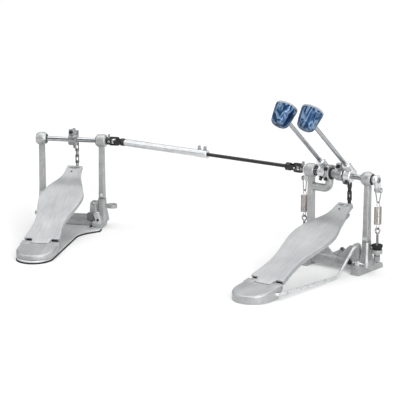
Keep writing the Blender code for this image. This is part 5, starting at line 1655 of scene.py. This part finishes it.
@dataclass
class Beater:
    """One beater: holder, rod, head and felt, drawn with +Z along the rod and +Y to the face."""

    side: Side
    x: float
    axle_body: str
    lean_deg: float = 49.8
    offset: float = 0.0105
    reach: float = 0.1875
    rod_radius: float = 0.0040
    tail: float = 0.0180
    hub_radius: float = 0.0120
    hub_length: float = 0.0150
    barrel_radius: float = 0.0080
    barrel_low: float = -0.0120
    barrel_high: float = 0.0260
    front: float = 0.0213
    rear: float = 0.0168
    length: float = 0.0375
    setback: float = 0.0022
    felt: float = 0.0045
    crown: float = 0.0020
    dome: float = 0.0080
    felt_round: float = 0.0024
    hub_lead: float = 0.0012
    barrel_lead: float = 0.0015
    hub_screw: Point = (0.0050, 0.0050)
    barrel_screw: Point = (0.0034, 0.0018)
    barrel_screw_z: float = 0.0150

    def build(self) -> None:
        """Make the holder, the rod, the head and the felt."""
        word, body = self.side.word, f"{self.side.word}_beater"
        place = PRIMARY_STAND.matrix() @ at(self.x, 0.0, AXLE_HEIGHT)
        place = place @ Matrix.Rotation(radians(self.lean_deg), 4, "X")
        dress(moved(self.holder(), place), BRIGHT, self.axle_body, f"{word}_beater_holder")
        seat = facing((0.0, -self.hub_radius + 0.0006, 0.0), TO_PLAYER)
        dress(moved(key_screw(f"{word}_holder_screw_0", *self.hub_screw), place @ seat), BLACK, self.axle_body)
        seat = facing((0.0, self.offset + self.barrel_radius - 0.0004, self.barrel_screw_z), TO_DRUM)
        dress(moved(socket_screw(f"{word}_holder_screw_1", *self.barrel_screw), place @ seat), STEEL, self.axle_body)
        end = self.reach - self.rear + 0.012
        rod = shifted(bar(f"{word}_beater_shaft", -self.tail, end, self.rod_radius, Axis.Z, FINE, 0.0008),
                      y=self.offset)
        dress(moved(smoothed(rod), place), CHROME, body, f"{word}_beater_rod")
        centre = at(0.0, self.offset - self.setback, self.reach)
        dress(moved(self.head(), place @ centre), PEARL, body, f"{word}_beater_head")
        dress(moved(self.face(), place @ centre), FELT, body, f"{word}_beater_face")

    def holder(self) -> Mesh:
        """Turn the hub and the barrel and fuse them.

        Returns:
            The holder in the beater's frame.
        """
        half = self.hub_length / 2
        hub = bar("hub", -half, half, self.hub_radius, Axis.X, lead=self.hub_lead)
        barrel = bar("barrel", self.barrel_low, self.barrel_high, self.barrel_radius, lead=self.barrel_lead)
        combined(hub, Cut.WITH, shifted(barrel, y=self.offset))
        bore = shifted(drill(self.rod_radius + 0.0002, Axis.Z), y=self.offset)
        combined(hub, Cut.AWAY, drill(AXLE_BORE), bore)
        hub.name = f"{self.side.word}_holder_turned"
        return smoothed(hub)

    def head(self) -> Mesh:
        """Turn the head: a rounded back that swells to the rim of its face.

        Returns:
            The head about its own middle, its face to +Y.
        """
        half, dome = self.length / 2, self.dome
        profile = [(-half, 0.0)]
        for step in range(11):
            angle = pi / 2 * step / 10
            profile.append((-half + dome * (1 - cos(angle)), self.rear * (0.50 + 0.53 * sin(angle))))
        profile += [(-half * 0.2, self.rear * 1.115), (half * 0.80, self.front * 0.985), (half * 0.92, self.front)]
        profile += [(half * 0.97, self.front - 0.0002), (half, self.front - 0.0009), (half, 0.0)]
        piece = turned(f"{self.side.word}_head_turned", profile, Axis.Y, ROUND)
        return smoothed(piece, BREAK_DEG)

    def face(self) -> Mesh:
        """Turn the felt disc with its soft rim and low crown.

        Returns:
            The felt about the head's middle.
        """
        low, r, ease = self.length / 2 + 0.0002, self.front, self.felt_round
        profile = [(low, 0.0), (low, r - 0.0007), (low + 0.0008, r - 0.0001), (low + 0.0018, r)]
        profile += arc((low + self.felt - ease, r - ease), ease, 90.0, 0.0, 6)
        for step in range(1, 9):
            share = step / 8
            profile.append((low + self.felt + self.crown * (1 - (1 - share) ** 2), (r - ease) * (1 - share)))
        piece = turned(f"{self.side.word}_felt_disc", profile, Axis.Y, ROUND)
        return smoothed(piece, 50.0)


@dataclass
class DriveShaft:
    """The telescoping shaft: yokes and crosses at both joints, the bright tube and the black rod."""

    reach: float = 0.0110
    hub_length: float = 0.0110
    hub_radius: float = 0.0078
    arm_gap: float = 0.0056
    arm_thickness: float = 0.0030
    arm_half: float = 0.0046
    pin_radius: float = 0.0022
    pin_reach: float = 0.0082
    cross_body: float = 0.0076
    tube_radius: float = 0.0074
    tube_bore: float = 0.0043
    tube_length: float = 0.2070
    collar_length: float = 0.0300
    rod_radius: float = 0.0036
    rod_span: Point = (-0.3217, -0.0210)
    primary_joint: float = -0.1008
    slave_joint: float = 0.0970
    hub_lead: float = 0.0010
    yoke_screw: Point = (0.0044, 0.0050)
    set_screw: Point = (0.0030, 0.0012)
    tube_screw: Point = (0.0050, 0.0060)
    tube_screw_back: Point = (0.0070, 0.0210)

    def build(self) -> None:
        """Make the two joints, the tube and the rod."""
        half_turn = Matrix.Rotation(pi, 4, "Z")
        quarter = Matrix.Rotation(pi / 2, 4, "X")
        primary_axle = PRIMARY_STAND.matrix() @ at(self.primary_joint, 0.0, AXLE_HEIGHT) @ half_turn
        slave_axle = SLAVE_STAND.matrix() @ at(self.slave_joint, 0.0, AXLE_HEIGHT)
        primary, slave = PRIMARY_JOINT.matrix(), SLAVE_JOINT.matrix()
        yokes = (
            ("primary_axle_yoke", primary_axle, "secondary_axle"),
            ("slave_axle_yoke", slave_axle, "slave_axle"),
            ("drive_tube_yoke", slave @ half_turn @ quarter, "drive_tube"),
            ("drive_rod_yoke", primary @ quarter, "drive_rod"),
        )
        for name, place, body in yokes:
            yoke = moved(self.yoke(f"{name}_forged"), place)
            dress(yoke, BLACK, body, *([name] if name != "drive_rod_yoke" else []))
            if name.endswith("axle_yoke"):
                self.yoke_screws(name, place, body)
        dress(moved(self.cross("primary_cross_forged"), primary), STEEL, "drive_rod", "primary_cross")
        dress(moved(self.cross("slave_cross_forged"), slave), BLACK, "slave_cross", "slave_cross")
        self.tube(slave)
        rod = bar("drive_rod_drawn", *self.rod_span, self.rod_radius, Axis.X, lead=0.0008)
        dress(moved(smoothed(rod), primary), BLACK, "drive_rod", "drive_rod")

    def yoke_screws(self, name: str, place: Matrix, body: str) -> None:
        """Set an axle yoke's key screw on its top and its set screw on the side towards the player.

        Args:
            name: The yoke's node.
            place: The matrix of the yoke.
            body: The body that it rides on.
        """
        seat = facing((-self.reach - self.hub_length * 0.55, 0.0, self.hub_radius - 0.0004), UPWARD)
        dress(moved(key_screw(f"{name}_screw", *self.yoke_screw), place @ seat), STEEL, body)
        way = 1.0 if body == "secondary_axle" else -1.0
        side = (-self.reach - self.hub_length * 0.5, way * (self.hub_radius - 0.0002), 0.0)
        seat = facing(side, (0.0, way, 0.0))
        dress(moved(socket_screw(f"{name}_set_screw", *self.set_screw), place @ seat), STEEL, body)

    def yoke(self, name: str) -> Mesh:
        """Model a yoke: a turned hub and two rounded arms with pin bosses.

        Args:
            name: The piece's name.

        Returns:
            The yoke, its hub towards -X of the joint's middle.
        """
        start = -self.reach - self.hub_length
        hub = bar("hub", start, -self.reach, self.hub_radius, Axis.X, lead=self.hub_lead)
        root = -self.reach - 0.004
        outline = [(root, -self.arm_half)] + arc((0.0, 0.0), self.arm_half, -90.0, 90.0, 18) + [(root, self.arm_half)]
        pieces = [smoothed(hub)]
        for side in Side:
            arm = extruded("arm", outline, *side.span(self.arm_gap, self.arm_gap + self.arm_thickness))
            combined(arm, Cut.AWAY, drill(self.pin_radius + 0.0008, Axis.Z, MEDIUM))
            pieces.append(broken(arm, 0.0006))
        return joined(name, pieces)

    def cross(self, name: str) -> Mesh:
        """Model a joint's cross: an eased block with four pins.

        Args:
            name: The piece's name.

        Returns:
            The cross about the joint's middle.
        """
        half = self.cross_body / 2
        block = extruded("block", rounded_box(self.cross_body, self.cross_body, 0.0015), -half, half)
        broken(block, 0.0008)
        upright = bar("upright", -self.pin_reach, self.pin_reach, self.pin_radius, Axis.Z, MEDIUM, 0.0004)
        across = bar("across", -self.pin_reach, self.pin_reach, self.pin_radius, Axis.Y, MEDIUM, 0.0004)
        return joined(name, [block, smoothed(upright), smoothed(across)])

    def tube(self, slave: Matrix) -> None:
        """Turn the tube with its clamp collar and set its two key screws.

        Args:
            slave: The matrix of the slave's joint.
        """
        start = self.reach + self.hub_length + 0.0003
        end = start + self.tube_length
        r, collar = self.tube_radius, self.tube_radius + 0.0008
        profile = [(start, self.tube_bore), (start, r - 0.0006), (start + 0.0006, r)]
        profile += [(end - self.collar_length, r), (end - self.collar_length + 0.0006, collar)]
        profile += [(end - 0.001, collar), (end, collar - 0.001), (end, self.tube_bore)]
        tube = smoothed(turned("drive_tube_drawn", profile, Axis.X))
        dress(moved(tube, slave), BRIGHT, "drive_tube", "drive_tube")
        for index, back in enumerate(self.tube_screw_back):
            screw = key_screw(f"drive_tube_screw_{index}", *self.tube_screw)
            seat = facing((end - back, 0.0, collar - 0.0004), UPWARD)
            dress(moved(screw, slave @ seat), STEEL, "drive_tube")


@dataclass
class PrimaryExtras:
    """What only the primary pedal has: centre bearing and arm, secondary axle, rod, hoop clamp, sleeve and bolts."""

    arm_x: float = -0.0225
    arm_root: float = -0.0585
    arm_drop: float = 0.0310
    arm_radius: float = 0.0077
    arm_half: float = 0.0043
    arm_head: Point = (0.0250, 0.0290)
    arm_screw: float = 0.0098
    rod_radius: float = 0.0030
    rod_corners: Tuple[Point3, ...] = (
        (0.0475, -0.0010, 0.0500), (0.0475, -0.0175, 0.0500), (0.0480, -0.0740, 0.0040), (0.0425, -0.26045, 0.0110),
    )
    rod_bend: float = 0.006
    arm_bend: float = 0.0140
    arm_bore: float = 0.0098
    head_screw: Point = (0.0046, 0.0040)
    bolt: Point = (0.0056, 0.0032)
    bolt_place: Point3 = (0.0350, -0.0142, 0.0190)
    boss: Point3 = (0.0100, 0.0110, 0.0030)
    boss_span: Point = (0.0140, 0.0262)
    boss_x: float = 0.0600
    spur_y: float = -0.0225
    spur_z: float = 0.0214
    spur_span: Point = (0.0500, 0.0760)
    spur_radius: float = 0.0026
    axle_radius: float = 0.0050
    pin_radius: float = 0.0025
    sleeve_bore: float = 0.0051
    sleeve_end: float = -0.0056
    ribs: int = 3

    def build(self) -> None:
        """Make each piece and set it in the primary pedal."""
        place, body = PRIMARY_STAND.matrix(), "primary_frame"
        dress(moved(self.arm(), place), CAST, body, "centre_bearing_arm")
        for rise in (-self.arm_screw, self.arm_screw):
            word = "upper" if rise > 0.0 else "lower"
            screw = key_screw(f"centre_arm_{word}_screw", *self.head_screw)
            seat = facing((self.arm_x, -self.arm_head[0] / 2 + 0.0003, AXLE_HEIGHT + rise), TO_PLAYER)
            dress(moved(screw, place @ seat), BLACK, body)
        self.sleeve()
        self.fasteners(place)
        set_bearing("centre_bearing", self.arm_x - 0.0040, 1, PRIMARY_STAND, body)
        axle = along_axle("secondary_axle_bar", "secondary_axle", self.axle_radius, 0.0)
        dress(axle, CHROME, "secondary_axle", "secondary_axle")
        corners = list(self.rod_corners) + [(-x, y, z) for x, y, z in reversed(self.rod_corners)]
        rod = wire("stabiliser_bent_rod", smooth_route(corners, self.rod_bend), self.rod_radius, rounds=6)
        dress(moved(smoothed(rod, 50.0), place), POLISH, body, "stabiliser_rod")
        jaw = refined("hoop_clamp_jaw", "hoop_jaw_casting", 0.0008, 2, 30.0)
        dress(jaw, CAST, "hoop_clamp_jaw", "hoop_clamp_jaw")
        pin = along_axle("hoop_jaw_pin", "hoop_clamp_pin", self.pin_radius, 0.0)
        dress(pin, STEEL, body, "hoop_clamp_pin")
        screw = refined("hoop_clamp_screw", "hoop_wing_screw", 0.0005, 2, BREAK_DEG)
        dress(screw, STEEL, "hoop_clamp_screw", "hoop_clamp_screw")

    def arm(self) -> Mesh:
        """Model the arm that holds the centre bearing: a round tube out from the post, bent up to a split block.

        Returns:
            The arm in the pedal's frame.
        """
        level = AXLE_HEIGHT - self.arm_drop
        corners = [(self.arm_root, 0.0, level), (self.arm_x, 0.0, level), (self.arm_x, 0.0, AXLE_HEIGHT - 0.0115)]
        tube = wire("tube", smooth_route(corners, self.arm_bend, 12), self.arm_radius, rounds=8)
        smoothed(tube, 50.0)
        low, high = self.arm_x - self.arm_half, self.arm_x + self.arm_half
        block = extruded("block", rounded_box(*self.arm_head, 0.0050), low, high, Axis.X)
        broken(block, 0.0009, 3)
        combined(block, Cut.AWAY, drill(self.arm_bore))
        shifted(block, z=AXLE_HEIGHT)
        return joined("centre_arm_casting", [tube, smoothed(block)])

    def fasteners(self, place: Matrix) -> None:
        """Set the crossbar's black bolt and the spur bolt in its boss on each foot.

        Args:
            place: The matrix of the primary pedal.
        """
        bolt = socket_screw("crossbar_bolt", *self.bolt)
        dress(moved(bolt, place @ facing(self.bolt_place, TO_PLAYER)), BLACK, "primary_frame")
        for side in Side:
            boss = extruded(f"{side.word}_spur_boss", rounded_box(*self.boss), *self.boss_span)
            broken(boss, 0.0012, 3)
            seat = at(side.value * self.boss_x, self.spur_y, 0.0)
            dress(moved(boss, place @ seat), BRIGHT, "primary_frame")
            thread = thread_profile(*side.span(*self.spur_span), self.spur_radius)
            spur = turned(f"{side.word}_spur_bolt", thread, Axis.X, MEDIUM)
            shifted(smoothed(spur), 0.0, self.spur_y, self.spur_z)
            dress(moved(spur, place), STEEL, "primary_frame")

    def sleeve(self) -> None:
        """Turn the ribbed sleeve and the black washer on the main axle, between the centre bearing and the cam."""
        place = PRIMARY_STAND.matrix() @ at(z=AXLE_HEIGHT)
        start, end, bore = self.arm_x + 0.0080, self.sleeve_end, self.sleeve_bore
        profile = [(start, bore), (start, 0.0084)]
        for step in range(self.ribs):
            rib = start + 0.0006 + step * (end - start - 0.0006) / self.ribs
            profile += [(rib, 0.0090), (rib + 0.0019, 0.0090), (rib + 0.0022, 0.0082), (rib + 0.0026, 0.0082)]
        profile += [(end, 0.0084), (end, bore)]
        dress(moved(smoothed(turned("main_axle_sleeve", profile, Axis.X)), place), SATIN, "main_axle")
        washer = turned("main_axle_washer", [
            (start - 0.0018, bore), (start - 0.0018, 0.0108), (start - 0.0015, 0.0111), (start - 0.0005, 0.0111),
            (start - 0.0002, 0.0108), (start - 0.0002, bore),
        ], Axis.X)
        dress(moved(smoothed(washer), place), BLACK, "main_axle")


@dataclass
class SlaveExtras:
    """What only the slave pedal has on its base: the web beside the rod ear, the stop block and the spur lug."""

    ear: float = 0.0475
    post: float = 0.0610
    web_top: float = 0.0565
    block: Tuple[Point, Point] = ((0.0362, 0.0540), (0.0170, 0.0322))
    lug_x: float = 0.0605
    lug_y: Point = (-0.0315, -0.0235)
    lug_z: float = 0.0255
    lug: Point3 = (0.0115, 0.0220, 0.0026)
    lug_lean_deg: float = -16.0
    lug_screw: Point = (0.0030, 0.0016)
    web_span: Point = (0.0030, 0.0060)
    block_span: Point = (0.0138, 0.0215)
    block_corner: float = 0.0022

    def build(self) -> None:
        """Make each piece and set it on the slave pedal."""
        place, body = SLAVE_STAND.matrix(), "slave_frame"
        low = self.block[1][0]
        near = self.ear + 0.0050
        web = [(near, low), (near, self.web_top), (self.post - 0.0030, self.web_top),
               (self.post, self.web_top - 0.0040), (self.post, low)]
        plate = broken(extruded("slave_ear_web", web, *self.web_span), 0.0008, 3)
        upright = Matrix.Rotation(pi / 2, 4, "X")
        dress(moved(plate, place @ upright), CAST, body)
        (near, far), (foot, top) = self.block
        outline = rounded_box(far - near, top - foot, self.block_corner)
        block = broken(extruded("slave_stop_block", outline, *self.block_span), 0.0010, 3)
        seat = at((near + far) / 2, 0.0, (foot + top) / 2) @ upright
        # The stop block's dark grey is partly painted shade, for the shadow under the board
        dress(moved(block, place @ seat), ZINC_AND_SHADE, body)
        lug = extruded("slave_spur_lug", rounded_box(*self.lug), -self.lug_y[1], -self.lug_y[0])
        broken(lug, 0.0014, 3)
        lean = Matrix.Rotation(radians(self.lug_lean_deg), 4, "Y")
        seat = at(self.lug_x, 0.0, self.lug_z) @ lean
        dress(moved(lug, place @ seat @ upright), BRIGHT, body)
        screw = socket_screw("slave_spur_screw", *self.lug_screw)
        seat = facing((self.lug_x + 0.0012, self.lug_y[0] + 0.0002, self.lug_z - 0.0052), TO_PLAYER)
        dress(moved(screw, place @ seat), BLACK, body)


@dataclass
class SlaveFloor:
    """The slave pedal's base plate and the rubber mat under it."""

    edge: float = 0.0007
    mat_edge: float = 0.0004
    mat_lip: float = 0.0016

    def build(self) -> None:
        """Make the plate, and the mat with a lip that shows all round it."""
        plate = refined("slave_base_plate", "slave_floor_plate", self.edge, 2, 34.0)
        # The plate's paler finish is painted light that lifts the shade on it
        dress(plate, PLATE, "slave_frame", "slave_base_plate")
        mat = refined("slave_rubber_mat", "slave_floor_mat", self.mat_edge, 2, 34.0)
        for corner in mat.data.vertices:
            level = Vector((corner.normal.x, corner.normal.y, 0.0))
            if level.length > 0.2:
                corner.co += level.normalized() * self.mat_lip
        dress(mat, RUBBER, "slave_frame", "slave_rubber_mat")


@dataclass
class Studio:
    """The floor, the light and the camera."""

    floor_size: float = 40.0
    floor_colour: str = "#CACACA"
    floor_glow: float = 0.30
    far_glow: float = 0.70
    glow_span: Point = (0.5, 2.5)
    target: Point3 = (0.01617, 0.09445, 0.100)
    azimuth_deg: float = 37.787
    elevation_deg: float = 13.298
    distance: float = 3.67406
    lens: float = 167.05

    def build(self) -> None:
        """Make the floor, the world, the lamps and the camera."""
        bpy.context.scene.view_settings.view_transform = "Standard"
        self.floor()
        self.world()
        self.lamp("top_light", (-0.20, 0.25, 2.60), (0.0, 0.1, 0.0), 3.0, 54.0)
        self.lamp("left_light", (-2.2, -1.6, 1.5), (0.0, 0.1, 0.1), 1.4, 18.0)
        self.lamp("right_light", (2.4, -1.2, 1.3), (0.0, 0.1, 0.1), 1.2, 59.0)
        self.lamp("rim_light", (1.25, 1.35, 1.75), (0.3, 0.15, 0.2), 1.1, 4.0)
        self.camera()

    def floor(self) -> None:
        """Lay the floor: pale and matt, lifted to white for the eye, with the shadows kept."""
        clear_selection()
        bpy.ops.mesh.primitive_plane_add(size=self.floor_size, location=(0.0, 0.0, -0.0003))
        item = bpy.context.active_object
        item.name = "floor"
        paint = bpy.data.materials.new("floor_paper")
        paint.use_nodes = True
        tree = paint.node_tree
        shader = tree.nodes["Principled BSDF"]
        shader.inputs["Base Color"].default_value = linear(self.floor_colour)
        shader.inputs["Roughness"].default_value = 0.9
        shader.inputs["Specular IOR Level"].default_value = 0.0
        path = add_node(tree, "ShaderNodeLightPath").outputs
        seen = path["Is Camera Ray"]
        for ray in ("Is Glossy Ray", "Is Transmission Ray"):
            seen = add_node(tree, "ShaderNodeMath", {0: seen, 1: path[ray]}, operation="MAXIMUM").outputs[0]
        spot = add_node(tree, "ShaderNodeTexCoord").outputs["Object"]
        away = add_node(tree, "ShaderNodeVectorMath", {0: spot}, operation="LENGTH").outputs["Value"]
        near, far = self.glow_span
        level = add_node(tree, "ShaderNodeMapRange", {0: away, 1: near, 2: far, 3: self.floor_glow, 4: self.far_glow})
        glow = add_node(tree, "ShaderNodeMath", {0: seen, 1: level.outputs[0]}, operation="MULTIPLY")
        shader.inputs["Emission Color"].default_value = (1.0, 1.0, 1.0, 1.0)
        tree.links.new(glow.outputs[0], shader.inputs["Emission Strength"])
        item.data.materials.append(paint)

    def world(self) -> None:
        """Set a soft studio dome, bright above and dimmer near the horizon."""
        world = bpy.data.worlds.new("studio")
        bpy.context.scene.world = world
        world.use_nodes = True
        tree = world.node_tree
        way = add_node(tree, "ShaderNodeTexCoord").outputs["Generated"]
        height = add_node(tree, "ShaderNodeSeparateXYZ", {0: way}).outputs["Z"]
        dome = add_node(tree, "ShaderNodeMapRange", {0: height, 1: 0.08, 2: 0.90, 3: 0.03, 4: 0.55},
                        interpolation_type="SMOOTHSTEP").outputs[0]
        tree.links.new(dome, tree.nodes["Background"].inputs["Strength"])
        tree.nodes["Background"].inputs["Color"].default_value = (1.0, 1.0, 1.0, 1.0)

    def lamp(self, name: str, place: Point3, aim: Point3, size: float, power: float) -> None:
        """Hang a square soft lamp.

        Args:
            name: The lamp's name.
            place: Where it hangs.
            aim: Where it points.
            size: Its side.
            power: Its power in watts.
        """
        clear_selection()
        bpy.ops.object.light_add(type="AREA", location=place)
        item = bpy.context.active_object
        item.name = name
        item.data.size = size
        item.data.energy = power
        item.rotation_euler = (Vector(place) - Vector(aim)).to_track_quat("Z", "Y").to_euler()

    def camera(self) -> None:
        """Set the camera at the photograph's angle."""
        az, el = radians(self.azimuth_deg), radians(self.elevation_deg)
        back = Vector((sin(az) * cos(el), -cos(az) * cos(el), sin(el)))
        place = Vector(self.target) + back * self.distance
        bpy.ops.object.camera_add(location=place)
        item = bpy.context.active_object
        item.rotation_euler = back.to_track_quat("Z", "Y").to_euler()
        item.data.lens = self.lens
        item.data.sensor_width = 36.0
        item.data.clip_end = 100.0
        bpy.context.scene.camera = item


def main() -> None:
    """Build every sub-assembly in order, then the studio."""
    logging.basicConfig(level=logging.INFO, format="%(name)s: %(message)s")
    clear_selection()
    FrameCasting("primary", PRIMARY_STAND, "primary_frame", False, Side.LEFT).build()
    FrameCasting("slave", SLAVE_STAND, "slave_frame", True, Side.RIGHT).build()
    Footboard("primary", PRIMARY_STAND, "primary_frame", "primary_board", SHEET, 0.0, True).build()
    Footboard("slave", SLAVE_STAND, "slave_frame", "slave_board", SLAVE_SHEET, 0.0056, False).build()
    ChainDrive("primary", PRIMARY_STAND, "main_axle", "main_axle", "primary_chain", STEEL, CHAIN).build()
    ChainDrive("slave", SLAVE_STAND, "slave_axle", "slave_axle", "slave_chain", CHROME, ZINC_AND_SHADE).build()
    PrimaryExtras().build()
    ReturnSpring(Side.LEFT, "secondary_axle").build()
    ReturnSpring(Side.RIGHT, "main_axle", stirrup_spread=0.0060).build()
    Beater(Side.LEFT, -0.0365, "secondary_axle").build()
    Beater(Side.RIGHT, 0.0213, "main_axle").build()
    DriveShaft().build()
    SlaveExtras().build()
    SlaveFloor().build()
    Studio().build()


if __name__ == "__main__":
    main()
